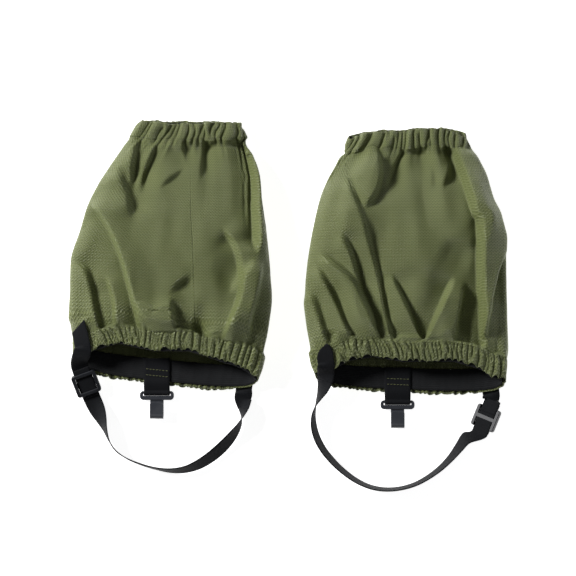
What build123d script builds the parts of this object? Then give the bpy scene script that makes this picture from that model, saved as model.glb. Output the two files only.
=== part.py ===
from build123d import *
import math
import os
from bisect import bisect_right
from types import SimpleNamespace

# A pair of short hiking gaiters lying flat on a table, in millimetres, +Z up.
# Each gaiter is a fabric tube with its calf end towards +Y and its boot end
# towards -Y. The left one lies at -X, the right one at +X. Each has an instep
# strap with a slide buckle, and a lace hook on a webbing tab.

os.makedirs("parts", exist_ok=True)

# ---------------------------------------------------------------- dimensions
# "IN" and "OUT" pairs are offsets outward from the shell's inner face.
# A station is a section number along the tube: 0 at the calf rim, 12 at the
# boot rim. Fractions lie between two sections.

# Shell, hems and seams
FABRIC_T = 0.7
HEM_IN, HEM_OUT = 0.9, 2.1
ELASTIC_IN, ELASTIC_OUT = -1.4, -0.2
PANEL_GAP = 0.12            # half the gap between the two panels at a seam
PANEL_INSET = 0.06          # stations from panel end to rim
SEAM_INSET = 1.1            # stations from seam thread to rim
SEAM_THREAD_W = 0.9
SEAM_THREAD_IN, SEAM_THREAD_OUT = FABRIC_T - 0.15, FABRIC_T + 0.35
FRONT_SEAM_SIDEWAYS = -10.0     # seam down the table side, from the section centre
HEM_STITCH_H = 0.8          # width of the thread row round each hem, along the tube
HEM_STITCH_IN, HEM_STITCH_OUT = HEM_OUT - 0.12, HEM_OUT + 0.18
TOP_HEM_DEPTH = 14.0        # nominal length of one station at the calf end
BOTTOM_HEM_DEPTH = 19.0     # nominal length of one station at the boot end

# Resolution of the tube surfaces
OUTLINE_POINTS = 1440       # points round a section
TANGENT_SPAN = 6            # outline points each side used for the surface direction
LOOP_POINTS = 44            # spline points round a closed section
BORE_OVERRUN = 0.08         # stations that a ring's bore passes its ends

# Instep strap and its sewn ends
WEB_W = 16.0
WEB_T = 1.0
ANCHOR_IN, ANCHOR_OUT = 2.3, 3.4
FAR_ANCHOR_START = 10.75    # station that the far sewn end reaches up to
HINGE_GAP = 0.8             # webbing stops this far each side of a bending line
FAR_GAP = 4.0               # the far sewn end lies at a slant and stops earlier
HINGE_OUT = 2.6             # bending line beyond the boot rim
TABLE_CLEARANCE = 0.35      # under the lowest strap edge

# Webbing tab that carries the lace hook
TAB_W = 24.0
TAB_IN, TAB_OUT = -3.0, -1.7
TAB_START = 11.25           # station that the sewn end reaches up to
TAB_T = 1.1
TAB_HINGE_OUT = 3.0         # bending line beyond the boot rim
TAB_HINGE_GAP = 0.9
TAB_STITCH_MARGIN = 1.5     # thread row to each side edge of the tab

# Lace hook
HOOK_BAR_R = 1.35           # round bar the tab turns on
HOOK_BAR_Z = 3.3            # bar height over the table
LOOP_R = 1.5                # inside radius of the tab's loop round that bar
HOOK_W = 31.5               # width over the lugs
HOOK_LUG_X = 12.8           # inner face of each lug
HOOK_T = 3.0
FRAME_BACK = 1.5            # frame edge on the tab side, from the bar centre
LOWER_BAR_NEAR, LOWER_BAR_FAR = 2.95, 6.9
WINDOW_L = 8.0
STRIP_W = 12.4              # hook strip
STRIP_T = 2.0
THROAT_R = 2.6              # inside radius of the hook's throat
HOOK_REACH = 24.2           # bar centre to the far end of the bend
TIP_BACK = 8.3              # where the returning tip ends, from the bar centre

# Slide buckle: W across the webbing, L along it
BUCKLE_W = 23.0
BUCKLE_L = 21.0
BUCKLE_RAIL_X = 8.3         # inner face of each side rail
BUCKLE_BAR = 3.2            # width of each end bar
MIDDLE_BAR = BUCKLE_BAR + 1.0
MIDDLE_BAR_T = 1.55
END_BAR_T = 1.7
PLY_GAP = 0.15              # between plies, and from webbing to bars
BUCKLE_HEM_RUN = 5.6        # straight strap past the buckle, hem side
BUCKLE_LOOP_RUN = 4.2       # straight strap past the buckle, loop side
RETURN_PLY_SHORTER = 2.5    # return ply against the straight run
RETURN_PLY_LIFT = WEB_T + PLY_GAP + 0.06

# -------------------------------------------------------------------- tables
# Tube sections: y of the upper face, y of the table side, centre x, half
# width, yaw in degrees, height of the underside, overall height. Rows 0 and 1
# are the calf rim and hem line, rows 11 and 12 the boot hem line and rim.
# Sections lean about X, so the slanted boot opening shows its inside from above.
LEFT_STATIONS = [
    (167.4, 170.2, -89.2, 43.7, -1.0, 3.6, 11.0),
    (153.6, 155.5, -90.2, 52.0, -1.0, 3.6, 14.0),
    (138.9, 139.8, -92.7, 61.9, -1.0, 2.4, 20.0),
    (123.3, 123.3, -95.2, 69.9, -1.5, 1.9, 27.0),
    (106.7, 106.3, -98.7, 75.7, -2.0, 1.7, 33.0),
    (88.3, 87.4, -101.7, 81.4, -2.5, 1.7, 38.0),
    (65.3, 63.5, -103.7, 85.8, -3.0, 1.7, 41.0),
    (42.3, 38.6, -106.0, 89.9, -3.5, 1.7, 42.0),
    (21.2, 13.8, -106.4, 91.2, -4.0, 1.8, 41.0),
    (3.7, -7.4, -107.0, 91.1, -4.5, 2.6, 39.0),
    (-11.0, -28.5, -107.9, 89.9, -5.0, 3.5, 35.0),
    (-24.8, -49.7, -109.5, 87.4, -5.5, 4.1, 30.0),
    (-41.4, -71.8, -111.8, 83.7, -6.0, 4.2, 25.0),
]
RIGHT_STATIONS = [
    (160.1, 162.4, 110.4, 52.9, 1.5, 3.6, 11.0),
    (145.8, 147.2, 110.6, 56.4, 1.2, 3.6, 14.0),
    (134.3, 134.8, 109.2, 63.7, 1.0, 2.4, 20.0),
    (120.5, 120.1, 109.5, 71.3, 0.8, 1.9, 27.0),
    (104.9, 104.0, 108.8, 77.0, 0.5, 1.7, 33.0),
    (86.5, 84.6, 109.5, 81.9, 0.2, 1.7, 38.0),
    (64.4, 61.6, 109.9, 86.9, 0.0, 1.7, 41.0),
    (41.4, 36.8, 109.5, 90.2, -0.3, 1.7, 42.0),
    (19.3, 12.0, 109.0, 91.5, -0.6, 1.8, 41.0),
    (-0.9, -11.0, 109.1, 91.9, -1.0, 2.6, 39.0),
    (-18.4, -34.0, 109.9, 91.5, -1.4, 3.5, 35.0),
    (-35.4, -57.0, 110.9, 89.2, -1.8, 4.1, 29.0),
    (-52.4, -79.1, 112.7, 85.6, -2.5, 4.2, 24.0),
]

# Back seam on the upper face: sideways offset from the centre of each section.
LEFT_BACK_SEAM = [-2.0, -1.2, 3.0, 6.5, 10.2, 13.5, 17.0, 20.5, 21.6, 22.8, 24.2, 26.2, 28.8]
RIGHT_BACK_SEAM = [-60.0, -58.0, -56.5, -54.0, -48.0, -42.0, -37.0, -31.0, -25.5, -21.5,
                   -18.0, -14.5, -12.0]

# Free part of each strap: x, y, z of its centre line (z 0 = as low as the roll
# allows) and roll in degrees of the outer face (0 = up, 90 = strap standing on
# edge, 180 = down).
LEFT_LOOP = [
    (-176.8, -94.6, 4.6, 14), (-172.2, -104.4, 6.4, 45), (-168.6, -114.5, 0, 72),
    (-165.0, -124.5, 0, 83), (-158.6, -134.0, 0, 85), (-149.0, -140.8, 0, 84),
    (-137.0, -145.9, 0, 82), (-122.0, -150.2, 0, 80), (-107.2, -152.3, 0, 72),
    (-93.4, -150.9, 0, 63), (-82.3, -146.7, 0, 54), (-73.1, -141.2, 0, 50),
    (-63.9, -133.9, 0, 48), (-55.2, -125.1, 0, 52), (-48.8, -116.8, 0, 62),
    (-44.2, -109.0, 0, 78), (-41.6, -101.8, 8.0, 98), (-40.4, -95.4, 7.0, 125),
    (-40.2, -90.0, 5.4, 155),
]
RIGHT_LOOP = [
    (35.3, -61.6, 20.6, 8), (34.4, -68.6, 17.2, 24), (32.4, -75.8, 13.8, 48),
    (29.4, -83.2, 10.8, 72), (26.2, -91.6, 0, 90), (24.2, -100.6, 0, 102),
    (24.4, -111.0, 0, 109), (27.4, -122.0, 0, 111), (33.0, -132.6, 0, 110),
    (41.5, -143.2, 0, 108), (52.0, -153.2, 0, 105), (64.5, -162.0, 0, 102),
    (77.5, -167.6, 0, 99), (91.5, -169.7, 0, 97), (105.5, -168.5, 0, 96),
    (119.0, -164.4, 0, 97), (131.0, -157.8, 0, 99), (141.5, -150.0, 0, 102),
    (150.6, -141.0, 0, 107), (158.4, -131.4, 0, 116), (165.2, -122.6, 0, 130),
]

# What differs between the two gaiters. The strap runs from its near sewn end
# (upper face, -X) to its far one (table side, +X). Their places are fractions
# of the rim's half width. Drift is sideways travel per station up the tube.
# Buckle yaw turns from -Y towards +X, pitch dips towards -Y.
GAITERS = {
    "left": SimpleNamespace(
        stations=LEFT_STATIONS, back_seam=LEFT_BACK_SEAM, loop=LEFT_LOOP,
        near_place=-0.90, far_place=0.85, near_start=10.85, near_drift=5.5,
        buckle_first=True, buckle_centre=Vector(-186.0, -71.5, 9.0),
        buckle_yaw=20.0, buckle_roll=0.0, buckle_pitch=14.0,
        hook_x=-121.0, hook_y=-80.3),
    "right": SimpleNamespace(
        stations=RIGHT_STATIONS, back_seam=RIGHT_BACK_SEAM, loop=RIGHT_LOOP,
        near_place=-0.895, far_place=0.88, near_start=11.1, near_drift=0.0,
        buckle_first=False, buckle_centre=Vector(183.5, -103.5, 7.2),
        buckle_yaw=-22.0, buckle_roll=155.0, buckle_pitch=0.0,
        hook_x=102.0, hook_y=-88.9),
}

UP = Vector(0, 0, 1)

# ------------------------------------------------------------- tube surfaces


def lerp(start, end, t):
    return start + (end - start) * t


def table_value(values, v):
    """Catmull-Rom value at station v, straight beyond both ends."""
    n = len(values) - 1
    if v <= 0:
        return values[0] + (values[1] - values[0]) * v
    if v >= n:
        return values[n] + (values[n] - values[n - 1]) * (v - n)
    i = min(int(v), n - 1)
    t = v - i
    p1, p2 = values[i], values[i + 1]
    p0 = values[i - 1] if i > 0 else 2 * p1 - p2
    p3 = values[i + 2] if i + 2 <= n else 2 * p2 - p1
    cubic = 3 * (p1 - p2) + p3 - p0
    square = 2 * p0 - 5 * p1 + 4 * p2 - p3
    return p1 + 0.5 * t * (p2 - p0 + t * (square + t * cubic))


def section_outline(half_width, height):
    """Superellipse points, counter-clockwise from +X, fuller on the table side."""
    points = []
    for i in range(OUTLINE_POINTS):
        angle = 2 * math.pi * i / OUTLINE_POINTS
        c, s = math.cos(angle), math.sin(angle)
        power = 2.3 if s >= 0 else 3.2
        r = (abs(c) ** power + abs(s) ** power) ** (-1 / power)
        points.append((half_width * c * r, height / 2 + height / 2 * s * r))
    return points


class Tube:
    """The inner face of one gaiter's fabric shell, with offsets from it.

    v is a station, s an arc position in mm counter-clockwise from the +X fold."""

    def __init__(self, stations, back_seam):
        self.columns = list(zip(*stations))
        self.back_seam = back_seam
        self.last = len(stations) - 1
        self.cache = {}

    def section(self, v):
        key = round(v, 4)
        if key not in self.cache:
            upper_y, table_y, centre_x, half_width, yaw, base_z, height = [
                table_value(column, v) for column in self.columns]
            points = section_outline(half_width, height)
            arc = [0.0]
            for i, (x, z) in enumerate(points):
                next_x, next_z = points[(i + 1) % OUTLINE_POINTS]
                arc.append(arc[-1] + math.hypot(next_x - x, next_z - z))
            self.cache[key] = SimpleNamespace(
                upper_y=upper_y, table_y=table_y, centre_x=centre_x, half_width=half_width,
                yaw=math.radians(yaw), base_z=base_z, height=height,
                points=points, arc=arc, total=arc[-1])
        return self.cache[key]

    def at(self, v, s, offset):
        """Point at arc position s, moved outward by offset."""
        sec = self.section(v)
        s = s % sec.total
        n = OUTLINE_POINTS
        i = min(bisect_right(sec.arc, s) - 1, n - 1)
        t = (s - sec.arc[i]) / (sec.arc[i + 1] - sec.arc[i])
        a, b = sec.points[i], sec.points[(i + 1) % n]
        across, z = lerp(a[0], b[0], t), lerp(a[1], b[1], t)
        before = sec.points[(i - TANGENT_SPAN) % n]
        after = sec.points[(i + 1 + TANGENT_SPAN) % n]
        tangent_x, tangent_z = after[0] - before[0], after[1] - before[1]
        length = math.hypot(tangent_x, tangent_z)
        across += offset * tangent_z / length
        z -= offset * tangent_x / length
        y = lerp(sec.table_y, sec.upper_y, z / sec.height) + across * math.sin(sec.yaw)
        return Vector(sec.centre_x + across * math.cos(sec.yaw), y, sec.base_z + z)

    def arc_of(self, v, sideways, top):
        """Arc position at a sideways offset on the upper (top) or table face."""
        sec = self.section(v)
        half = OUTLINE_POINTS // 2
        indices = range(0, half) if top else range(half, OUTLINE_POINTS)
        return sec.arc[min(indices, key=lambda i: abs(sec.points[i][0] - sideways))]

    def back(self, shift):
        """Arc position of the back seam plus shift, as a function of the station."""
        return lambda v: self.arc_of(v, table_value(self.back_seam, v), True) + shift

    def front(self, shift):
        return lambda v: self.arc_of(v, FRONT_SEAM_SIDEWAYS, False) + shift

    def loft_stations(self, v0, v1):
        """Stations from v0 to v1, closer together near the hems."""
        steps = [i * 0.25 for i in range(self.last * 4 + 1)
                 if i * 0.25 <= 2.0 or i * 0.25 >= self.last - 2.0 or i % 2 == 0]
        return [v0] + [v for v in steps if v0 + 0.09 < v < v1 - 0.09] + [v1]

    def closed_wire(self, v, offset):
        total = self.section(v).total
        points = [self.at(v, total * i / LOOP_POINTS, offset) for i in range(LOOP_POINTS)]
        even = [i / LOOP_POINTS for i in range(LOOP_POINTS + 1)]
        return Wire([Edge.make_spline(points, periodic=True, parameters=even)])

    def ring(self, v0, v1, inner, outer):
        """Closed band round the tube between two offsets."""
        stations = self.loft_stations(v0, v1)
        bore_stations = [v0 - BORE_OVERRUN] + stations + [v1 + BORE_OVERRUN]
        body = Solid.make_loft([self.closed_wire(v, outer) for v in stations])
        return body - Solid.make_loft([self.closed_wire(v, inner) for v in bore_stations])

    def patch(self, v0, v1, arc_start, arc_end, inner, outer, n):
        """Piece of cloth between two arc positions, both functions of the station."""
        even = [i / n for i in range(n + 1)]
        wires = []
        for v in self.loft_stations(v0, v1):
            start, end = arc_start(v), arc_end(v)
            if end < start:
                end += self.section(v).total
            outside = [self.at(v, lerp(start, end, t), outer) for t in even]
            inside = [self.at(v, lerp(start, end, t), inner) for t in even]
            wires.append(Wire([
                Edge.make_spline(outside, parameters=even),
                Edge.make_line(outside[-1], inside[-1]),
                Edge.make_spline(inside[::-1], parameters=even),
                Edge.make_line(inside[0], outside[0]),
            ]))
        return Solid.make_loft(wires)


# ------------------------------------------------------------ shell and hems


def make_shell(tube):
    """Two panels, +X side and -X side, and the thread rows down both seams."""
    first, last = PANEL_INSET, tube.last - PANEL_INSET
    pieces = {
        "medial_panel": tube.patch(first, last, tube.front(PANEL_GAP), tube.back(-PANEL_GAP),
                                   0.0, FABRIC_T, n=30),
        "lateral_panel": tube.patch(first, last, tube.back(PANEL_GAP), tube.front(-PANEL_GAP),
                                    0.0, FABRIC_T, n=30),
    }
    half = SEAM_THREAD_W / 2
    for name, seam in (("back_seam", tube.back), ("front_seam", tube.front)):
        pieces[name] = tube.patch(SEAM_INSET, tube.last - SEAM_INSET, seam(-half), seam(half),
                                  SEAM_THREAD_IN, SEAM_THREAD_OUT, n=3)
    return pieces


def make_hems(tube):
    """Folded hem, elastic and thread row at each end of the tube."""
    last = tube.last
    top_row = (0.9 - HEM_STITCH_H / TOP_HEM_DEPTH, 0.9)
    bottom_row = (last - 0.92, last - 0.92 + HEM_STITCH_H / BOTTOM_HEM_DEPTH)

    def thread(row):
        # a small gap at the +X fold keeps the row an open strip
        return tube.patch(*row, lambda v: 0.1, lambda v: tube.section(v).total - 0.1,
                          HEM_STITCH_IN, HEM_STITCH_OUT, n=60)

    return {
        "top_hem": tube.ring(0.0, 1.0, HEM_IN, HEM_OUT),
        "bottom_hem": tube.ring(last - 1.0, last, HEM_IN, HEM_OUT),
        "top_elastic": tube.ring(0.02, 0.86, ELASTIC_IN, ELASTIC_OUT),
        "bottom_elastic": tube.ring(last - 0.9, last - 0.02, ELASTIC_IN, ELASTIC_OUT),
        "top_hem_stitch": thread(top_row),
        "bottom_hem_stitch": thread(bottom_row),
    }


# ------------------------------------------------------------------- webbing


def half_space(point, direction):
    """Large block on the side of a plane that direction points to."""
    size = 400.0
    block = Box(size, size, size, align=(Align.CENTER, Align.CENTER, Align.MIN))
    return Plane(origin=point, z_dir=direction) * block


def webbing(frames):
    """Loft of flat rectangles; each frame is (centre, width direction, normal)."""
    wires = []
    for centre, width, normal in frames:
        corners = [centre + width * (i * WEB_W / 2) + normal * (j * WEB_T / 2)
                   for i, j in ((1, 1), (-1, 1), (-1, -1), (1, -1))]
        wires.append(Wire([Edge.make_line(corners[i], corners[(i + 1) % 4]) for i in range(4)]))
    return Solid.make_loft(wires)


def rolled_frame(centre, travel, roll):
    """Frame across the travel direction, its outer face rolled from upward."""
    side = travel.cross(UP).normalized()
    angle = math.radians(roll)
    normal = (side.cross(travel) * math.cos(angle) + side * math.sin(angle)).normalized()
    return centre, normal.cross(travel).normalized(), normal


def lowest_centre(roll):
    """Centre height at which the rolled webbing just clears the table."""
    angle = math.radians(roll)
    half_height = abs(math.sin(angle)) * WEB_W / 2 + abs(math.cos(angle)) * WEB_T / 2
    return half_height + TABLE_CLEARANCE


def free_frames(rows, before, after, end_height=None):
    """Frames of the free loop; end_height eases the last two up to the buckle."""
    centres = []
    for i, (x, y, z, roll) in enumerate(rows):
        if not z:
            z = lowest_centre(roll)
            remaining = len(rows) - i
            if end_height is not None and remaining < 3:
                z = max(z, lerp(end_height, z, remaining / 3.0))
        centres.append(Vector(x, y, z))
    path = [before] + centres + [after]
    return [rolled_frame(centre, (path[i + 2] - path[i]).normalized(), rows[i][3])
            for i, centre in enumerate(centres)]


def make_strap(tube, spec):
    """Sewn ends, instep strap, return ply and slide buckle."""
    last = tube.last
    rim_half_width = tube.section(last).half_width
    middle = (ANCHOR_IN + ANCHOR_OUT) / 2

    def hinge_point(place, top):
        rim, inward = [tube.at(v, tube.arc_of(v, place * rim_half_width, top), middle)
                       for v in (last, last - 0.1)]
        return rim + (rim - inward).normalized() * HINGE_OUT

    # the strap bends along the line through these two points
    near_hinge = hinge_point(spec.near_place, True)
    far_hinge = hinge_point(spec.far_place, False)
    hinge_axis = (far_hinge - near_hinge).normalized()
    away = hinge_axis.cross(UP).normalized()            # level, off the boot end
    hinge_normal = away.cross(hinge_axis).normalized()  # upward

    def sewn_end(place, top, hinge, gap, start, drift):
        """Webbing on the hem's outside, trimmed parallel to the bending line."""
        def edge(sign):
            return lambda v: (tube.arc_of(v, place * rim_half_width, top)
                              + drift * max(0.0, last - v)
                              + sign * WEB_W / 2 / abs(hinge_axis.X))
        strip = tube.patch(start, last + 0.35, edge(-1), edge(1), ANCHOR_IN, ANCHOR_OUT, n=8)
        return strip & half_space(hinge - away * gap, -away)

    # straight run through the buckle
    yaw, pitch = math.radians(spec.buckle_yaw), math.radians(spec.buckle_pitch)
    travel = Vector(math.sin(yaw) * math.cos(pitch), -math.cos(yaw) * math.cos(pitch),
                    -math.sin(pitch))
    run_before, run_after = BUCKLE_HEM_RUN, BUCKLE_LOOP_RUN
    if not spec.buckle_first:
        travel = -travel
        run_before, run_after = run_after, run_before
    centre, width, normal = rolled_frame(spec.buckle_centre, travel, spec.buckle_roll)
    run_start = centre - travel * (BUCKLE_L / 2 + run_before)
    run_end = centre + travel * (BUCKLE_L / 2 + run_after)
    straight = [(lerp(run_start, run_end, t), width, normal)
                for t in (0.0, 0.06, 0.35, 0.65, 0.94, 1.0)]

    # short straight starts at both bending lines
    hinge_width = hinge_normal.cross(away)
    near_frames = [
        (near_hinge + away * HINGE_GAP, hinge_width, hinge_normal),
        (near_hinge + away * (HINGE_GAP + 2.2) - hinge_normal * 0.4, hinge_width, hinge_normal),
    ]
    far_frames = [(far_hinge + away * distance, hinge_width, -hinge_normal)
                  for distance in (HINGE_GAP + 2.2, HINGE_GAP)]
    if spec.buckle_first:
        middle_frames = straight + free_frames(spec.loop, run_end, far_hinge + away * 6.0)
    else:
        middle_frames = free_frames(spec.loop, near_hinge + away * 4.0, run_start,
                                    end_height=run_start.Z) + straight

    # the return ply lies on the strap's outer face
    ply_half = ((run_end - run_start).length - RETURN_PLY_SHORTER) / 2
    ply_centre = lerp(run_start, run_end, 0.5) + normal * RETURN_PLY_LIFT
    ply_frames = [(ply_centre + travel * (sign * ply_half), width, normal) for sign in (-1, 1)]

    buckle_plane = Plane(origin=centre, x_dir=width, z_dir=normal)
    return {
        "near_anchor": sewn_end(spec.near_place, True, near_hinge, HINGE_GAP,
                                spec.near_start, spec.near_drift),
        "far_anchor": sewn_end(spec.far_place, False, far_hinge, FAR_GAP,
                               FAR_ANCHOR_START, 0.0),
        "instep_strap": webbing(near_frames + middle_frames + far_frames),
        "return_ply": webbing(ply_frames),
        "slide_buckle": buckle_plane * slide_buckle(),
    }


# ------------------------------------------------------------------ hardware


def slide_buckle():
    """Three-bar slide in its own axes: y along the webbing, z out of its face."""
    low = -WEB_T / 2 - PLY_GAP
    high = WEB_T / 2 + PLY_GAP + WEB_T + PLY_GAP
    bottom, top = low - MIDDLE_BAR_T, high + END_BAR_T
    rail_x = (BUCKLE_W / 2 + BUCKLE_RAIL_X) / 2
    rail = Box(BUCKLE_W / 2 - BUCKLE_RAIL_X, BUCKLE_L, top - bottom)
    body = Pos(-rail_x, 0, (bottom + top) / 2) * rail + Pos(rail_x, 0, (bottom + top) / 2) * rail
    for sign in (-1, 1):
        bar = Box(BUCKLE_W, BUCKLE_BAR, top - high)
        body = body + Pos(0, sign * (BUCKLE_L - BUCKLE_BAR) / 2, (high + top) / 2) * bar
    body = body + Pos(0, 0, (bottom + low) / 2) * Box(BUCKLE_W, MIDDLE_BAR, low - bottom)
    corners = body.edges().filter_by(Axis.Z).filter_by(
        lambda e: abs(e.center().X) > BUCKLE_W / 2 - 0.05)
    body = fillet(corners, 2.4)
    rim = body.edges().filter_by(
        lambda e: abs(e.center().Z - top) < 0.02 or abs(e.center().Z - bottom) < 0.02)
    # guards the rim fillet: if it cannot be built, the rim stays sharp
    try:
        body = fillet(rim, 0.6)
    except Exception:
        pass
    return body


def hook_frame():
    """Open frame: two lugs joined by the lower bar."""
    frame = Pos(0, (FRAME_BACK - LOWER_BAR_FAR) / 2, 0) * Box(
        HOOK_W, LOWER_BAR_FAR + FRAME_BACK, HOOK_T)
    frame = fillet(frame.edges().filter_by(Axis.Z), 3.4)
    window = Box(2 * HOOK_LUG_X, WINDOW_L, HOOK_T + 2)
    frame = frame - Pos(0, WINDOW_L / 2 - LOWER_BAR_NEAR, 0) * window
    rims = frame.edges().filter_by(lambda e: abs(abs(e.center().Z) - HOOK_T / 2) < 0.02)
    # guards the rim fillet: if it cannot be built, the frame edges stay sharp
    try:
        frame = fillet(rims, 0.5)
    except Exception:
        pass
    return frame


def lace_hook():
    """Hook in its own axes: bar along x, strip towards -y and bent back over itself."""
    frame = hook_frame()
    bar = Rot(0, 90, 0) * Cylinder(HOOK_BAR_R, 2 * HOOK_LUG_X + 1.0)
    bend_y = -HOOK_REACH + THROAT_R + STRIP_T
    strip_bottom = -HOOK_T / 2
    bend_z = strip_bottom + STRIP_T + THROAT_R
    tip_z = bend_z + THROAT_R + STRIP_T / 2
    strip_start = -LOWER_BAR_NEAR - 0.7
    back = Pos(0, (bend_y + strip_start) / 2, strip_bottom + STRIP_T / 2) * Box(
        STRIP_W, strip_start - bend_y, STRIP_T)
    tip = Pos(0, (bend_y - TIP_BACK) / 2, tip_z) * Box(STRIP_W, -TIP_BACK - bend_y, STRIP_T)
    bend = Rot(0, 90, 0) * (
        Cylinder(THROAT_R + STRIP_T, STRIP_W) - Cylinder(THROAT_R, STRIP_W + 2))
    bend = bend & Box(STRIP_W + 1, 40, 40, align=(Align.CENTER, Align.MAX, Align.CENTER))
    bend = Pos(0, bend_y, bend_z) * bend
    tip_corners = tip.edges().filter_by(Axis.Z).filter_by(
        lambda e: e.center().Y > -TIP_BACK - 0.1)
    tip = fillet(tip_corners, 2.4)
    tip_rim = tip.edges().filter_by(
        lambda e: e.center().Z > tip_z + STRIP_T / 2 - 0.02 and e.center().Y > bend_y + 1.0)
    # guards the tip fillet: if it cannot be built, the tip edges stay sharp
    try:
        tip = fillet(tip_rim, 0.45)
    except Exception:
        pass
    return frame + bar + back + bend + tip


def tab_loop(reach, rise):
    """Folded webbing round the hook's bar at the origin, running to the bending
    line at y = reach, z = rise."""
    ring = Rot(0, 90, 0) * (Cylinder(LOOP_R + TAB_T, TAB_W) - Cylinder(LOOP_R, TAB_W + 2))
    start, end = LOOP_R + 0.3, math.hypot(reach, rise) - TAB_HINGE_GAP
    strap = Pos(0, (start + end) / 2, 0) * Box(TAB_W, end - start, 2 * TAB_T)
    strap = strap - Rot(0, 90, 0) * Cylinder(LOOP_R + 0.5, TAB_W + 2)
    return Rot(math.degrees(math.atan2(rise, reach)), 0, 0) * (ring + strap)


def make_hook(tube, spec):
    """Tab sewn inside the table side of the boot hem, its loop and the lace hook."""
    last = tube.last

    def tab_arc(shift):
        return lambda v: tube.arc_of(
            v, spec.hook_x - table_value(tube.columns[2], v), False) + shift

    rim = tube.at(last, tab_arc(0)(last), (TAB_IN + TAB_OUT) / 2)
    hinge_y = rim.Y - TAB_HINGE_OUT
    strip = tube.patch(TAB_START, last + 0.4, tab_arc(-TAB_W / 2), tab_arc(TAB_W / 2),
                       TAB_IN, TAB_OUT, n=6)
    stitch_half = TAB_W / 2 - TAB_STITCH_MARGIN
    bar_place = Pos(spec.hook_x, spec.hook_y, HOOK_BAR_Z)
    return {
        "hook_tab": strip & half_space(Vector(0, hinge_y + TAB_HINGE_GAP, 0), Vector(0, 1, 0)),
        "hook_tab_stitch": tube.patch(last - 0.45, last - 0.41, tab_arc(-stitch_half),
                                      tab_arc(stitch_half), TAB_IN - 0.2, TAB_IN + 0.15, n=6),
        "tab_loop": bar_place * tab_loop(hinge_y - spec.hook_y, rim.Z - HOOK_BAR_Z),
        "lace_hook": bar_place * lace_hook(),
    }


# -------------------------------------------------- build, centre and export

parts = {}
for side, spec in GAITERS.items():
    tube = Tube(spec.stations, spec.back_seam)
    pieces = {**make_shell(tube), **make_hems(tube), **make_strap(tube, spec),
              **make_hook(tube, spec)}
    for name, shape in pieces.items():
        parts[f"{side}_{name}"] = shape

# centre the pair on the origin in plan, with its lowest point at z = 0
boxes = [shape.bounding_box() for shape in parts.values()]
low = [min(getattr(box.min, axis) for box in boxes) for axis in "XYZ"]
high = [max(getattr(box.max, axis) for box in boxes) for axis in "XYZ"]
to_origin = Pos(-(low[0] + high[0]) / 2, -(low[1] + high[1]) / 2, -low[2])

for name, part in parts.items():
    shape = to_origin * part
    if isinstance(shape, Compound):
        solids = shape.solids()
        shape = solids[0] if len(solids) == 1 else Compound(children=list(solids))
    export_step(shape, f"parts/{name}.step")
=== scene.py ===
"""A pair of fabric gaiters with gathered hems, lying flat side by side on a pale floor.

The drawing is in millimetres: x across the pair (left gaiter at -x), y along the gaiters
with the top hems at +y, z up. SHIFT moves it onto the CAD frame. Each gaiter is a flattened
tube of cloth with elastic in both hems, a webbing strap looping out beyond the bottom hem
with a slide buckle, and a webbing tab that holds a lace hook under the top face.
"""
import bpy
import bmesh
import math
from types import SimpleNamespace
import numpy as np
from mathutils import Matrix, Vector

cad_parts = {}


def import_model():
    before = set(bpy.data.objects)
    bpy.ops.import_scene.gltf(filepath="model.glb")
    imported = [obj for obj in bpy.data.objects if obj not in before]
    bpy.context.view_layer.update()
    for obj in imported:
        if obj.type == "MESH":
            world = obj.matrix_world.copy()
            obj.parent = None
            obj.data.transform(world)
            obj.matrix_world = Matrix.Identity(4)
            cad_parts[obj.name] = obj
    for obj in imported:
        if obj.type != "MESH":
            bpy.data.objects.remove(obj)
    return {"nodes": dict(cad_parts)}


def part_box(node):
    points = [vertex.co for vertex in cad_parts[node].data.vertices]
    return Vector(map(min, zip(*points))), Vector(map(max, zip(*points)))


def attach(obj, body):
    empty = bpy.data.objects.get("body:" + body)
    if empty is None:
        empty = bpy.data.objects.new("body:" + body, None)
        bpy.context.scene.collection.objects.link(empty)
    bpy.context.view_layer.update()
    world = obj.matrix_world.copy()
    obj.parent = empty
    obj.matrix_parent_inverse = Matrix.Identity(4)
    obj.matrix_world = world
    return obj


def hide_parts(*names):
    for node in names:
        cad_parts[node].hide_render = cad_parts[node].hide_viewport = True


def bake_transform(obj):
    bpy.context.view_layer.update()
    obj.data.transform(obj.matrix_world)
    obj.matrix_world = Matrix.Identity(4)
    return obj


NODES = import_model()["nodes"]
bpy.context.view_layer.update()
MM = 0.001

# ------------------------------------------------------------------ dimensions
FABRIC_T = 0.7
PANEL_T = FABRIC_T * 0.8
HEM_T = 0.95
FELL_T = 0.5
ELASTIC_T = 0.75
PANEL_GAP = 0.10            # from a seam line to the panel's edge
FELL_HALF_W = 2.2
CLOTH_AROUND = 396.0        # nominal cloth round the tube, the span of the UV map
FRONT_SEAM_U = -10.0

WEB_W, WEB_T = 16.0, 1.0
ANCHOR_MID = (2.3 + 3.4) / 2    # middle of the sewn strap ends, out from the tube
ANCHOR_STATION = 10.75
HINGE_GAP, HINGE_OUT = 0.8, 2.6
BUCKLE_L, PLY_GAP = 21.0, 0.15

TAB_W, TAB_T = 24.0, 1.1
TAB_IN, TAB_OUT = -3.0, -1.7    # offsets of the sewn tab's faces from the tube
TAB_MID = (TAB_IN + TAB_OUT) / 2
TAB_STATION = 11.25
TAB_HINGE_IN, TAB_HINGE_GAP = 3.0, 0.9
LOOP_R = 1.5
HOOK_HALF_W, HOOK_PAST_BAR = 15.75, 1.5

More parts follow.
